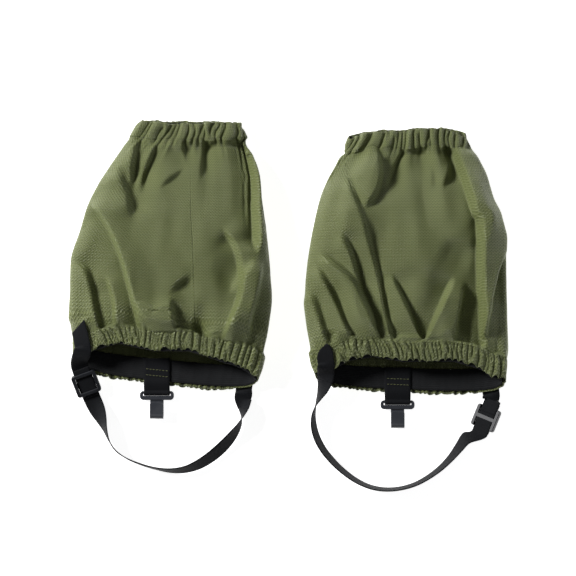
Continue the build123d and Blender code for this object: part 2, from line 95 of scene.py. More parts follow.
# Stations from the top hem to the bottom hem. Columns: y of the upper face, y of the
# underside, x of the middle, half width, yaw in degrees, z of the underside, height.
LEFT_STATIONS = [
    (167.4, 170.2, -89.2, 43.7, -1.0, 3.6, 11.0), (153.6, 155.5, -90.2, 52.0, -1.0, 3.6, 14.0),
    (138.9, 139.8, -92.7, 61.9, -1.0, 2.4, 20.0), (123.3, 123.3, -95.2, 69.9, -1.5, 1.9, 27.0),
    (106.7, 106.3, -98.7, 75.7, -2.0, 1.7, 33.0), (88.3, 87.4, -101.7, 81.4, -2.5, 1.7, 38.0),
    (65.3, 63.5, -103.7, 85.8, -3.0, 1.7, 41.0), (42.3, 38.6, -106.0, 89.9, -3.5, 1.7, 42.0),
    (21.2, 13.8, -106.4, 91.2, -4.0, 1.8, 41.0), (3.7, -7.4, -107.0, 91.1, -4.5, 2.6, 39.0),
    (-11.0, -28.5, -107.9, 89.9, -5.0, 3.5, 35.0), (-24.8, -49.7, -109.5, 87.4, -5.5, 4.1, 30.0),
    (-41.4, -71.8, -111.8, 83.7, -6.0, 4.2, 25.0),
]
RIGHT_STATIONS = [
    (160.1, 162.4, 110.4, 52.9, 1.5, 3.6, 11.0), (145.8, 147.2, 110.6, 56.4, 1.2, 3.6, 14.0),
    (134.3, 134.8, 109.2, 63.7, 1.0, 2.4, 20.0), (120.5, 120.1, 109.5, 71.3, 0.8, 1.9, 27.0),
    (104.9, 104.0, 108.8, 77.0, 0.5, 1.7, 33.0), (86.5, 84.6, 109.5, 81.9, 0.2, 1.7, 38.0),
    (64.4, 61.6, 109.9, 86.9, 0.0, 1.7, 41.0), (41.4, 36.8, 109.5, 90.2, -0.3, 1.7, 42.0),
    (19.3, 12.0, 109.0, 91.5, -0.6, 1.8, 41.0), (-0.9, -11.0, 109.1, 91.9, -1.0, 2.6, 39.0),
    (-18.4, -34.0, 109.9, 91.5, -1.4, 3.5, 35.0), (-35.4, -57.0, 110.9, 89.2, -1.8, 4.1, 29.0),
    (-52.4, -79.1, 112.7, 85.6, -2.5, 4.2, 24.0),
]
# Distance of the back seam from the middle of the upper face, at each station.
LEFT_BACK_SEAM = [-2.0, -1.2, 3.0, 6.5, 10.2, 13.5, 17.0, 20.5, 21.6, 22.8, 24.2, 26.2, 28.8]
RIGHT_BACK_SEAM = [-60.0, -58.0, -56.5, -54.0, -48.0, -42.0, -37.0, -31.0, -25.5, -21.5,
                   -18.0, -14.5, -12.0]
# Strap loop: x, y, z (0: resting on the floor), roll in degrees.
LEFT_LOOP = [
    (-176.8, -94.6, 4.6, 14), (-172.2, -104.4, 6.4, 45), (-168.6, -114.5, 0, 72),
    (-165.0, -124.5, 0, 83), (-158.6, -134.0, 0, 85), (-149.0, -140.8, 0, 84),
    (-137.0, -145.9, 0, 82), (-122.0, -150.2, 0, 80), (-107.2, -152.3, 0, 72),
    (-93.4, -150.9, 0, 63), (-82.3, -146.7, 0, 54), (-73.1, -141.2, 0, 50),
    (-63.9, -133.9, 0, 48), (-55.2, -125.1, 0, 52), (-48.8, -116.8, 0, 62),
    (-44.2, -109.0, 0, 78), (-41.6, -101.8, 8.0, 98), (-40.4, -95.4, 7.0, 125),
    (-40.2, -90.0, 5.4, 155),
]
RIGHT_LOOP = [
    (35.3, -61.6, 20.6, 8), (34.4, -68.6, 17.2, 24), (32.4, -75.8, 13.8, 48),
    (29.4, -83.2, 10.8, 72), (26.2, -91.6, 0, 90), (24.2, -100.6, 0, 102),
    (24.4, -111.0, 0, 109), (27.4, -122.0, 0, 111), (33.0, -132.6, 0, 110),
    (41.5, -143.2, 0, 108), (52.0, -153.2, 0, 105), (64.5, -162.0, 0, 102),
    (77.5, -167.6, 0, 99), (91.5, -169.7, 0, 97), (105.5, -168.5, 0, 96),
    (119.0, -164.4, 0, 97), (131.0, -157.8, 0, 99), (141.5, -150.0, 0, 102),
    (150.6, -141.0, 0, 107), (158.4, -131.4, 0, 116), (165.2, -122.6, 0, 130),
]
# Long folds in the upper face: plan points, the higher side (1 is +x of a line running
# to -y, -1 is -x), then depth and reach of the low side, height and reach of the high side.
LEFT_FOLDS = [
    ([(-182.3, 95.0), (-168.8, 80.2), (-158.1, 60.0), (-150.0, 38.4), (-141.9, 8.6),
      (-136.6, -11.0)], 1, 2.2, 5.0, 2.4, 7.0),
    ([(-154.5, 129.7), (-150.4, 115.9), (-145.8, 101.8), (-141.9, 78.8)], -1, 2.6, 6.0, 2.5, 6.0),
    ([(-138.5, 143.5), (-142.1, 123.3), (-144.0, 104.9)], -1, 1.8, 4.0, 1.6, 3.0),
    ([(-126.5, 134.3), (-132.9, 117.8), (-134.8, 101.2)], -1, 1.6, 4.0, 1.5, 3.5),
    ([(-91.9, 128.8), (-103.5, 119.6), (-121.6, 105.8)], -1, 1.6, 5.0, 1.8, 6.0),
    ([(-97.2, 154.6), (-94.8, 141.7), (-91.9, 128.8)], -1, 2.2, 5.0, 1.6, 5.0),
    ([(-77.7, 138.0), (-78.7, 125.1), (-80.0, 113.2)], -1, 1.6, 3.0, 1.0, 4.0),
    ([(-34.5, 143.5), (-28.4, 116.7), (-27.1, 83.7), (-27.8, 46.5)], 1, 4.5, 12.0, 2.2, 5.0),
    ([(-27.8, 46.5), (-40.9, 29.4), (-54.1, 10.1)], 1, 3.0, 7.0, 1.8, 5.0),
    ([(-21.6, 44.2), (-26.2, 23.9), (-29.9, 5.5)], -1, 1.2, 5.0, 1.0, 4.0),
    ([(-84.2, 30.6), (-97.1, 22.2), (-110.1, 12.8)], -1, 3.6, 5.0, 2.0, 6.0),
    ([(-60.5, 72.0), (-49.0, 58.0), (-42.0, 36.0), (-44.0, 10.0), (-52.0, -12.0)],
     1, 1.8, 9.0, 1.8, 7.0),
    ([(-84.0, -4.0), (-78.0, -12.0), (-74.0, -22.0)], 1, 1.6, 4.0, 1.4, 4.0),
    ([(-168.0, 30.0), (-160.0, 8.0), (-158.0, -14.0)], 1, 1.8, 6.0, 1.6, 5.0),
    ([(-195.8, 41.0), (-189.1, 37.7), (-182.3, 31.6), (-176.9, 6.0), (-173.4, -11.0)],
     -1, 1.8, 5.0, 0.9, 4.0),
    ([(-138.5, 5.5), (-133.9, -9.2), (-126.5, -19.3)], 1, 1.8, 4.0, 1.6, 4.0),
    ([(-106.3, 11.0), (-104.0, -5.5), (-103.5, -22.1)], -1, 2.0, 4.0, 1.5, 5.0),
    ([(-29.9, 5.5), (-33.6, -12.9), (-35.4, -26.7)], -1, 0.9, 5.0, 0.8, 4.0),
]
RIGHT_FOLDS = [
    ([(53.5, 122.7), (67.0, 87.2), (76.1, 54.9), (83.8, 26.6), (91.5, -9.6)],
     -1, 1.4, 5.0, 1.4, 4.0),
    ([(48.3, 68.1), (57.5, 51.5), (66.7, 19.3), (72.2, 5.5)], -1, 2.2, 7.0, 1.6, 8.0),
    ([(83.8, 142.7), (86.0, 125.1), (83.3, 108.6), (75.9, 95.7), (67.6, 88.3)],
     -1, 1.9, 4.0, 1.6, 5.0),
    ([(102.6, 137.1), (96.1, 123.3), (87.9, 104.0)], -1, 1.8, 9.0, 1.2, 4.0),
    ([(131.1, 129.7), (133.9, 115.9), (131.1, 104.9)], -1, 1.8, 3.0, 1.2, 4.0),
    ([(145.8, 141.7), (151.3, 128.8), (144.0, 112.2), (138.5, 106.7)], -1, 1.4, 4.0, 1.2, 4.0),
    ([(153.5, 145.4), (161.3, 119.6), (169.0, 87.2), (174.2, 76.9), (176.1, 42.0),
      (179.3, -12.1)], 1, 4.2, 12.0, 2.4, 6.0),
    ([(171.6, 84.6), (178.0, 78.2), (184.5, 70.8)], 1, 2.0, 3.0, 1.4, 4.0),
    ([(140.3, 64.4), (154.1, 58.9), (175.3, 49.7)], 1, 2.8, 9.0, 1.4, 8.0),
    ([(198.7, 54.9), (191.8, 23.9), (184.5, -9.6)], -1, 2.2, 7.0, 1.8, 4.0),
    ([(28.2, 47.2), (44.6, 38.6), (60.5, 22.6), (68.5, 5.5), (76.1, -12.1)],
     -1, 2.6, 6.0, 2.0, 6.0),
    ([(21.8, 16.2), (26.2, 5.5), (31.7, -12.9)], -1, 1.8, 3.0, 1.4, 3.0),
    ([(26.2, 40.5), (35.4, 23.9), (46.5, 0.0), (52.0, -14.7)], -1, 1.8, 4.0, 1.4, 4.0),
    ([(94.1, 31.7), (103.5, 12.9), (114.7, -9.6)], -1, 2.4, 6.0, 1.6, 6.0),
    ([(153.5, 29.2), (144.0, 9.2), (134.1, -12.1)], 1, 3.0, 8.0, 1.6, 5.0),
    ([(164.2, 23.9), (160.5, 5.5), (156.9, -12.9)], -1, 1.5, 6.0, 1.4, 4.0),
]
# Waves of the two rims: x, shift along y.
LEFT_CUFF = [(-200, -5.0), (-142, -2.0), (-131, 2.0), (-123, 2.0), (-112, 0.4), (-84, 0.2),
             (-68, 2.4), (-42, 1.0), (-30, -1.0)]
RIGHT_CUFF = [(40, -8.0), (56, -6.0), (68, -1.0), (80, 1.0), (105, 1.2), (124, 2.6),
              (142, 3.4), (151, 0.5), (158, -4.5), (166, -7.0)]
LEFT_RIM = [(-210, 0), (-182, -3), (-155, 4), (-122, -1), (-90, 2.5), (-60, -2), (-41, -3),
            (-30, -6), (0, 0)]
RIGHT_RIM = [(20, 0), (43, -4), (56, 2), (79, 5), (106, 1), (126, 2), (153, 4), (180, 0),
             (187, -5), (215, 0)]

# The near strap end is sewn to the upper face, the far one to the underside. *_share is
# their place as a share of the rim's half width; near_drift slants the near one.
# raised lifts the first strap frames clear of the rim; far_frames is the number of
# strap frames that go with the far end.
LEFT = SimpleNamespace(
    side="left", stations=LEFT_STATIONS, back_seam=LEFT_BACK_SEAM, folds=LEFT_FOLDS,
    cuff=LEFT_CUFF, rim=LEFT_RIM, loop=LEFT_LOOP, seed=11,
    near_share=-0.90, far_share=0.85, near_station=10.85, near_drift=5.5,
    near_shear=0.55, near_taper=0.0, raised=(1.6, 1.1, 0.3), far_frames=4,
    buckle_at_start=True, buckle_centre=(-186.0, -71.5, 9.0),
    buckle_yaw=20.0, buckle_roll=0.0, buckle_pitch=14.0, hook_bar=(-121.0, -80.3, 3.3))
RIGHT = SimpleNamespace(
    side="right", stations=RIGHT_STATIONS, back_seam=RIGHT_BACK_SEAM, folds=RIGHT_FOLDS,
    cuff=RIGHT_CUFF, rim=RIGHT_RIM, loop=RIGHT_LOOP, seed=29,
    near_share=-0.895, far_share=0.88, near_station=11.1, near_drift=0.0,
    near_shear=0.25, near_taper=0.55, raised=(1.2, 0.6), far_frames=7,
    buckle_at_start=False, buckle_centre=(183.5, -103.5, 7.2),
    buckle_yaw=-22.0, buckle_roll=155.0, buckle_pitch=0.0, hook_bar=(102.0, -88.9, 3.3))

# The CAD frame's shift from the drawing, read off the left hook.
hook_lo, hook_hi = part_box("left_lace_hook")
bar_x, bar_y, bar_z = LEFT.hook_bar
SHIFT = np.array([hook_lo.x / MM - bar_x + HOOK_HALF_W,
                  hook_hi.y / MM - bar_y - HOOK_PAST_BAR,
                  hook_lo.z / MM - bar_z + HOOK_PAST_BAR])

# ------------------------------------------------------------------ small helpers


def world(points):
    """Drawing millimetres to scene metres."""
    return (np.asarray(points, float) + SHIFT) * MM


def unit(a):
    a = np.asarray(a, float)
    return a / np.linalg.norm(a)


def unit_rows(a):
    return a / np.linalg.norm(a, axis=1)[:, None]


def lerp(a, b, t):
    return a + (b - a) * t


def smooth(x, a, b):
    t = np.clip((np.asarray(x, float) - a) / (b - a), 0, 1)
    return t * t * (3 - 2 * t)


def cumulative(steps):
    return np.concatenate([[0], np.cumsum(steps)])


def path_run(points):
    """Distance along a 3D path at each of its points."""
    return cumulative(np.linalg.norm(np.diff(points, axis=0), axis=1))


def path_length(points):
    return sum(math.dist(a, b) for a, b in zip(points, points[1:]))


def profile(points, x):
    return np.interp(x, *zip(*points))


def catmull(p0, p1, p2, p3, t):
    return p1 + 0.5 * t * (p2 - p0 + t * (2 * p0 - 5 * p1 + 4 * p2 - p3
                                          + t * (3 * (p1 - p2) + p3 - p0)))


def at_station(values, v):
    """Smooth value at station number v, straight beyond both ends."""
    n = len(values) - 1
    if v <= 0:
        return values[0] + (values[1] - values[0]) * v
    if v >= n:
        return values[n] + (values[n] - values[n - 1]) * (v - n)
    i = int(v)
    p1, p2 = values[i], values[i + 1]
    p0 = values[i - 1] if i > 0 else 2 * p1 - p2
    p3 = values[i + 2] if i + 2 <= n else 2 * p2 - p1
    return catmull(p0, p1, p2, p3, v - i)


def curve_through(points, steps):
    """Catmull-Rom points through a plan polyline."""
    p = np.array(points, float)
    p = np.concatenate([[2 * p[0] - p[1]], p, [2 * p[-1] - p[-2]]])
    out = [catmull(*p[i - 1:i + 3], k / steps)
           for i in range(1, len(p) - 2) for k in range(steps)]
    return out + [p[-2]]


def run_on(before, end, distance):
    """Point a distance past the end of a line."""
    end = np.array(end)
    return end + unit(end - np.array(before)) * distance


def polyline_distance(x, y, points):
    """Distance to a polyline, signed side, and share of the way along it."""
    best = np.full(x.shape, 1e9)
    side = np.zeros(x.shape)
    along = np.zeros(x.shape)
    total = path_length(points)
    run = 0.0
    for (x0, y0), (x1, y1) in zip(points, points[1:]):
        dx, dy = x1 - x0, y1 - y0
        length = math.hypot(dx, dy)
        t = np.clip(((x - x0) * dx + (y - y0) * dy) / length ** 2, 0, 1)
        px, py = x - x0 - t * dx, y - y0 - t * dy
        distance = np.hypot(px, py)
        near = distance < best
        best = np.where(near, distance, best)
        side = np.where(near, np.sign(dx * py - dy * px), side)
        along = np.where(near, (run + t * length) / total, along)
        run += length
    return best, side, along


def rolled(travel, degrees):
    """Width direction and normal of a ribbon running along travel, rolled about it."""
    sideways = unit(np.cross(travel, (0, 0, 1)))
    up = np.cross(sideways, travel)
    roll = math.radians(degrees)
    normal = unit(up * math.cos(roll) + sideways * math.sin(roll))
    return unit(np.cross(normal, travel)), normal


def floor_clearance(degrees):
    """Height of the middle of rolled webbing that rests on the floor."""
    roll = math.radians(degrees)
    return abs(math.sin(roll)) * WEB_W / 2 + abs(math.cos(roll)) * WEB_T / 2 + 0.35


class Tube:
    """Flattened tube. v is a station number, u the distance across from the middle,
    and arc the distance round a section from its +u edge, over the upper face first."""

    STEPS = 1440
    POWER_UPPER, POWER_UNDER = 2.3, 3.2     # superellipse powers of the section

    def __init__(self, stations):
        self.columns = np.array(stations, float).T
        self.last = float(len(stations) - 1)
        self.cache = {}

    def section(self, v):
        key = round(float(v), 4)
        if key not in self.cache:
            y_upper, y_under, x_mid, half_width, yaw, z_base, height = [
                float(at_station(column, v)) for column in self.columns]
            angle = np.linspace(0, 2 * np.pi, self.STEPS + 1)
            cos, sin = np.cos(angle), np.sin(angle)
            power = np.where(sin >= -1e-12, self.POWER_UPPER, self.POWER_UNDER)
            radius = (np.abs(cos) ** power + np.abs(sin) ** power) ** (-1 / power)
            u, z = half_width * cos * radius, height / 2 + height / 2 * sin * radius
            arc = cumulative(np.hypot(np.diff(u), np.diff(z)))
            self.cache[key] = SimpleNamespace(
                y_upper=y_upper, y_under=y_under, x_mid=x_mid, half_width=half_width,
                yaw=math.radians(yaw), z_base=z_base, height=height,
                u=u, z=z, arc=arc, total=arc[-1])
        return self.cache[key]

    def at(self, v, arc, offset):
        """Points (n, 3) at arc positions, moved outwards by offset."""
        q = self.section(v)
        arc = np.atleast_1d(np.asarray(arc, float)) % q.total

        def outline(s):
            s = s % q.total
            return np.interp(s, q.arc, q.u), np.interp(s, q.arc, q.z)

        u, z = outline(arc)
        u_after, z_after = outline(arc + 1.0)
        u_before, z_before = outline(arc - 1.0)
        du, dz = u_after - u_before, z_after - z_before
        length = np.hypot(du, dz)
        u, z = u + offset * dz / length, z - offset * du / length
        y = lerp(q.y_under, q.y_upper, z / q.height) + u * math.sin(q.yaw)
        return np.stack([q.x_mid + u * math.cos(q.yaw), y, q.z_base + z], 1)

    def point(self, v, arc, offset):
        return self.at(v, arc, offset)[0]

    def arc_of(self, v, u, upper):
        q = self.section(v)
        half = self.STEPS // 2
        part = np.arange(0, half) if upper else np.arange(half, self.STEPS)
        return q.arc[part[np.argmin(np.abs(q.u[part] - u))]]


# -------------------------------------------------------------- cloth solver
# A grid of cloth, rows along the tube and columns round it, relaxed so that its
# edges keep the length of the real cloth. Spare cloth near the gathered hems
# buckles into folds.


def resample(a, rows, cols):
    """Bilinear, periodic over the columns."""
    rows_in, cols_in = a.shape[:2]
    tail = (1,) * (a.ndim - 2)
    r = np.linspace(0, rows_in - 1, rows)
    i = np.minimum(r.astype(int), rows_in - 2)
    t = (r - i).reshape(-1, 1, *tail)
    b = a[i] * (1 - t) + a[i + 1] * t
    c = np.arange(cols) * cols_in / cols
    j = c.astype(int)
    t = (c - j).reshape(1, -1, *tail)
    return b[:, j % cols_in] * (1 - t) + b[:, (j + 1) % cols_in] * t


def blur(a, passes):
    """Light smoothing over rows and round the ring."""
    a = a.copy()
    for _ in range(passes):
        a = 0.5 * a + 0.25 * (np.roll(a, 1, 1) + np.roll(a, -1, 1))
        a[1:-1] = 0.5 * a[1:-1] + 0.25 * (a[2:] + a[:-2])
    return a


def lengths(a):
    return np.linalg.norm(a, axis=2)


def spring(edge, rest, stiffness):
    return (0.5 * stiffness * (1 - rest / lengths(edge)))[:, :, None] * edge


def sag_around(a):
    return 0.5 * (np.roll(a, 1, 1) + np.roll(a, -1, 1)) - a


def sag_along(a):
    return 0.5 * (a[2:] + a[:-2]) - a[1:-1]


AROUND_STIFF, ALONG_STIFF, DIAGONAL_STIFF = 0.9, 0.8, 0.25
MOMENTUM, STEP_GAIN, STEP_MAX = 0.86, 0.9, 1.2


def relax(points, base, rest_around, rest_along, free, pull, steps, bend, z_low, z_high):
    """free: (rows, 1), 0 where held; pull: share moved back to base each step."""
    velocity = np.zeros_like(points)
    free = free[:, :, None]
    beside = np.roll(base, -1, 1)
    grow = 0.5 * (rest_around[:-1] / lengths(beside - base)[:-1]
                  + rest_along / lengths(base[1:] - base[:-1]))
    rest_forward = lengths(beside[1:] - base[:-1]) * grow
    rest_backward = lengths(base[1:] - beside[:-1]) * grow
    for _ in range(steps):
        before = points
        change = np.zeros_like(points)
        beside = np.roll(points, -1, 1)
        force = spring(beside - points, rest_around, AROUND_STIFF)
        change += force - np.roll(force, 1, 1)
        force = spring(points[1:] - points[:-1], rest_along, ALONG_STIFF)
        change[:-1] += force
        change[1:] -= force
        force = spring(beside[1:] - points[:-1], rest_forward, DIAGONAL_STIFF)
        change[:-1] += force
        change[1:] -= np.roll(force, 1, 1)
        force = spring(points[1:] - beside[:-1], rest_backward, DIAGONAL_STIFF)
        change[:-1] += np.roll(force, 1, 1)
        change[1:] -= force
        change *= 0.5
        change -= bend * sag_around(sag_around(points))
        sag = np.zeros_like(points)
        sag[1:-1] = sag_along(points)
        change[1:-1] -= bend * sag_along(sag)
        change += pull * (base - points)
        velocity = np.clip(MOMENTUM * velocity + change * free * STEP_GAIN, -STEP_MAX, STEP_MAX)
        points = points + velocity
        points[:, :, 2] = np.clip(points[:, :, 2], z_low, z_high)
        points = before + (points - before) * free
    return points


def pleats(ring, pitch, rng):
    """Uneven rounded ridges with sharp valleys round a ring, as a function of arc."""
    widths = []
    while sum(widths) < ring:
        widths.append(pitch * rng.choice([0.55, 0.8, 1.0, 1.25, 1.7]) * rng.uniform(0.85, 1.15))
    widths = np.array(widths) * ring / sum(widths)
    edges = cumulative(widths)
    heights = np.clip(widths / pitch, 0.5, 1.35) * rng.uniform(0.7, 1.2, len(widths))
    lean = rng.uniform(-0.35, 0.35, len(widths))

    def height(arc):
        arc = np.asarray(arc, float) % ring
        k = np.clip(np.searchsorted(edges, arc, side="right") - 1, 0, len(widths) - 1)
        t = (arc - edges[k]) / widths[k]
        t = np.clip(t + lean[k] * t * (1 - t), 0, 1)
        return heights[k] * (np.sin(np.pi * t) ** 0.62) - 0.48

    return height


def ring_noise(n, knots, rng):
    """Smooth noise round a ring, unit size."""
    k = rng.normal(0, 1, knots)
    x = np.arange(n) * knots / n
    i = x.astype(int)
    t = x - i
    t = t * t * (3 - 2 * t)
    return k[i % knots] * (1 - t) + k[(i + 1) % knots] * t


def rough(rows, cols, knots_along, knots_around, rng):
    """Smooth noise, periodic round the tube, about unit size."""
    g = rng.normal(0, 1, (knots_along, knots_around))
    g = (g + np.roll(g, 1, 1) + np.roll(g, -1, 1)) / 1.7
    a = resample(g, rows, cols)
    for _ in range(max(2, cols // knots_around // 3)):
        a = (a + np.roll(a, 1, 1) + np.roll(a, -1, 1)) / 3
        a[1:-1] = (a[1:-1] + a[2:] + a[:-2]) / 3
    return a / a.std()


FOLD_GAIN, FOLD_MAX = 2.1, 8.5
FOLD_FULL_LENGTH = 62.0     # shorter folds are shallower


def fold_relief(folds, x, y, upper):
    """Outward displacement of the upper face by the long folds."""
    relief = np.zeros(x.shape)
    for points, high_side, depth, low_reach, ridge, high_reach in folds:
        # folds that run to a hem are held by it, so they do not die out before it
        if points[-1][1] < 8:
            points = points + [run_on(points[-2], points[-1], 30)]
        if points[0][1] > 131:
            points = [run_on(points[1], points[0], 22)] + points
        distance, side, along = polyline_distance(x, y, curve_through(points, 5))
        total = path_length(points)
        ends = min(15.0, 0.4 * total)
        fade = (smooth(along * total, 0.0, ends) * smooth((1 - along) * total, 0.0, ends)
                * smooth(-distance, -60, -40))
        across = distance * side * high_side
        step = smooth(across, -1.35, 1.35)
        gain = (min(FOLD_GAIN, FOLD_MAX / max(depth, ridge))
                * min(1.0, max(0.45, total / FOLD_FULL_LENGTH)))
        crisp = 0.2 + 0.38 * float(smooth(total, 45, 85))

        def swell(height, reach):
            away = np.abs(across) / reach
            return height * (crisp + away) * np.exp(1 - crisp - away)

        low = swell(-gain * depth, 1.15 * low_reach + 1.5)
        bank = swell(1.1 * gain * ridge, high_reach + 2.0)
        relief += np.where(upper, (low * (1 - step) + bank * step) * fade, 0)
    return relief


def rim_sway(rim, x, z, upper):
    """Shift of the bottom rim along y; the underside stays put."""
    return profile(rim, x) * smooth(z, 12, 20) * np.where(upper, 1, 0)


# -------------------------------------------------------------- mesh building


def new_mesh(name, points, faces, uvs):
    """Smooth-shaded object from drawing points, with one UV per vertex."""
    mesh = bpy.data.meshes.new(name)
    mesh.from_pydata([tuple(v) for v in world(points)], [], [tuple(f) for f in faces])
    mesh.update()
    layer = mesh.uv_layers.new(name="UVMap")
    corners = np.zeros(len(mesh.loops), int)
    mesh.loops.foreach_get("vertex_index", corners)
    layer.data.foreach_set("uv", np.asarray(uvs, np.float32)[corners].ravel())
    ob = bpy.data.objects.new(name, mesh)
    bpy.context.scene.collection.objects.link(ob)
    for face in mesh.polygons:
        face.use_smooth = True
    return ob


def face_outwards(ob):
    bm = bmesh.new()
    bm.from_mesh(ob.data)
    bmesh.ops.recalc_face_normals(bm, faces=bm.faces)
    bm.to_mesh(ob.data)
    bm.free()
    return ob


def sheet(name, grid, uv, thick, closed=False):
    """Cloth of even thickness from a grid (rows, cols, 3); closed joins last column to first."""
    rows, cols = grid.shape[:2]
    du = np.roll(grid, -1, 1) - np.roll(grid, 1, 1)
    if not closed:
        du[:, 0] = grid[:, 1] - grid[:, 0]
        du[:, -1] = grid[:, -1] - grid[:, -2]
    dv = np.zeros_like(grid)
    dv[1:-1] = grid[2:] - grid[:-2]
    dv[0] = grid[1] - grid[0]
    dv[-1] = grid[-1] - grid[-2]
    normal = np.cross(dv, du)
    normal /= lengths(normal)[:, :, None] + 1e-12
    verts = np.concatenate([(grid + normal * thick / 2).reshape(-1, 3),
                            (grid - normal * thick / 2).reshape(-1, 3)])
    uvs = np.tile(uv.reshape(-1, 2), (2, 1))
    n = rows * cols
    edge = np.arange(cols if closed else cols - 1)
    r, c = np.meshgrid(np.arange(rows - 1), edge, indexing="ij")
    a = (r * cols + c).ravel()
    b = (r * cols + (c + 1) % cols).ravel()
    faces = [np.stack([a, a + cols, b + cols, b], 1),
             np.stack([a, b, b + cols, a + cols], 1) + n]
    beside = (edge + 1) % cols
    faces.append(np.stack([edge, beside, beside + n, edge + n], 1))
    end = (rows - 1) * cols
    faces.append(np.stack([end + beside, end + edge, end + edge + n, end + beside + n], 1))
    if not closed:
        first = np.arange(rows - 1) * cols
        faces.append(np.stack([first + cols, first, first + n, first + cols + n], 1))
        final = first + cols - 1
        faces.append(np.stack([final, final + cols, final + cols + n, final + n], 1))
    ob = new_mesh(name, verts, np.concatenate(faces), uvs)

    # how far each outer point lies below its neighbours round the tube; the cloth materials paint
    # shade there
    reach = round(cols / CLOTH_AROUND * 2.4) if closed else 2
    near = 0.5 * (np.roll(grid, reach, 1) + np.roll(grid, -reach, 1))
    shade_depth = np.clip(-((grid - near) * normal).sum(2) / 0.75, 0, 1)
    if not closed:
        shade_depth[:, :reach + 1] = 0
        shade_depth[:, -reach - 1:] = 0
    # painted shade mask: the outer face's depth below its neighbours, read by the cloth materials
    layer = ob.data.attributes.new("crease_shade", "FLOAT", "POINT")
    crease_shade = np.concatenate([shade_depth.ravel(), 0 * shade_depth.ravel()])
    layer.data.foreach_set("value", crease_shade.astype(np.float32))
    return ob


def hermite(values, run, s):
    """Smooth curve through rows of values at uneven distances run."""
    i = np.clip(np.interp(s, run, np.arange(len(run))).astype(int), 0, len(run) - 2)
    slope = np.gradient(values, run, axis=0)
    span = (run[i + 1] - run[i])[:, None]
    x = (s - run[i])[:, None] / span
    return ((2 * x ** 3 - 3 * x ** 2 + 1) * values[i]
            + (x ** 3 - 2 * x ** 2 + x) * span * slope[i]
            + (-2 * x ** 3 + 3 * x ** 2) * values[i + 1]
            + (x ** 3 - x ** 2) * span * slope[i + 1])


def ribbon(name, frames, width, thick, step=0.9, cols=9, shear=0.0, taper=0.0):
    """Webbing with rounded edges along frames of (centre, width direction, normal).

    shear cuts the first end slanting, taper narrows it."""
    centre, across, normal = (np.array(part, float) for part in zip(*frames))
    run = path_run(centre)
    count = max(2, int(round(run[-1] / step)) + 1)
    s = np.linspace(0, run[-1], count)
    centre, across, normal = (hermite(a, run, s) for a in (centre, across, normal))
    across = unit_rows(across)
    normal = unit_rows(normal - (normal * across).sum(1)[:, None] * across)

    h, r = width / 2, thick / 2
    half = [(t * (h - r * 0.9), r) for t in np.linspace(-1, 1, cols)]
    half += [(h - r * 0.25, r * 0.55), (h, 0.0), (h - r * 0.25, -r * 0.55)]
    outline = np.array(half)
    outline = np.concatenate([outline, -outline])
    m = len(outline)
    travel = unit_rows(np.gradient(centre, axis=0))
    slant = shear * np.clip(1 - s / 14.0, 0, 1)[:, None]
    narrow = (1 - taper * np.clip(1 - s / 9.0, 0, 1) ** 1.6)[:, None]
    verts = (centre[:, None] + across[:, None] * outline[None, :, :1] * narrow[:, :, None]
             + normal[:, None] * outline[None, :, 1:]
             - travel[:, None] * (outline[None, :, 0] * slant)[:, :, None])
    uvs = np.stack(np.broadcast_arrays(outline[:, 0], s[:, None]), 2)
    i, k = np.meshgrid(np.arange(count - 1), np.arange(m), indexing="ij")
    a = (i * m + k).ravel()
    b = (i * m + (k + 1) % m).ravel()
    faces = [tuple(f) for f in np.stack([a, b, b + m, a + m], 1)]
    faces.append(tuple(range(m))[::-1])
    faces.append(tuple(range((count - 1) * m, count * m)))
    return face_outwards(new_mesh(name, verts.reshape(-1, 3), faces, uvs.reshape(-1, 2)))


def stitches(name, path, normal, length, gap, radius, rise):
    """Row of separate thread stitches lying along a path (n, 3)."""
    path = np.asarray(path, float)
    normal = np.asarray(normal, float)
    run = path_run(path)
    verts, faces, uvs = [], [], []
    sides, rings = 6, 6
    place = gap
    while place + length < run[-1]:
        s = np.linspace(place, place + length, rings)
        p = np.stack([np.interp(s, run, path[:, k]) for k in range(3)], 1)
        up = unit_rows(np.stack([np.interp(s, run, normal[:, k]) for k in range(3)], 1))
        sideways = np.cross(unit(p[-1] - p[0]), up)
        start = len(verts)
        for i in range(rings):
            x = i / (rings - 1)
            height = rise * math.sin(math.pi * x) * 2 - 0.15 * (x in (0, 1))
            thick = radius * (0.45 + 0.55 * math.sin(math.pi * (0.12 + 0.76 * x)))
            for k in range(sides):
                angle = 2 * math.pi * k / sides
                verts.append(p[i] + up[i] * (height + thick * math.cos(angle))
                             + sideways[i] * thick * math.sin(angle))
                uvs.append((k / sides, place + x * length))
        for i in range(rings - 1):
            for k in range(sides):
                q, after = start + i * sides, (k + 1) % sides
                faces.append((q + k, q + after, q + sides + after, q + sides + k))
        faces.append(tuple(start + k for k in range(sides))[::-1])
        faces.append(tuple(start + (rings - 1) * sides + k for k in range(sides)))
        place += length + gap
    return face_outwards(new_mesh(name, np.array(verts), faces, np.array(uvs)))


# ----------------------------------------------------------------- materials
# UV maps are in millimetres of cloth; noise scales and bump distances are per metre and
# in metres.


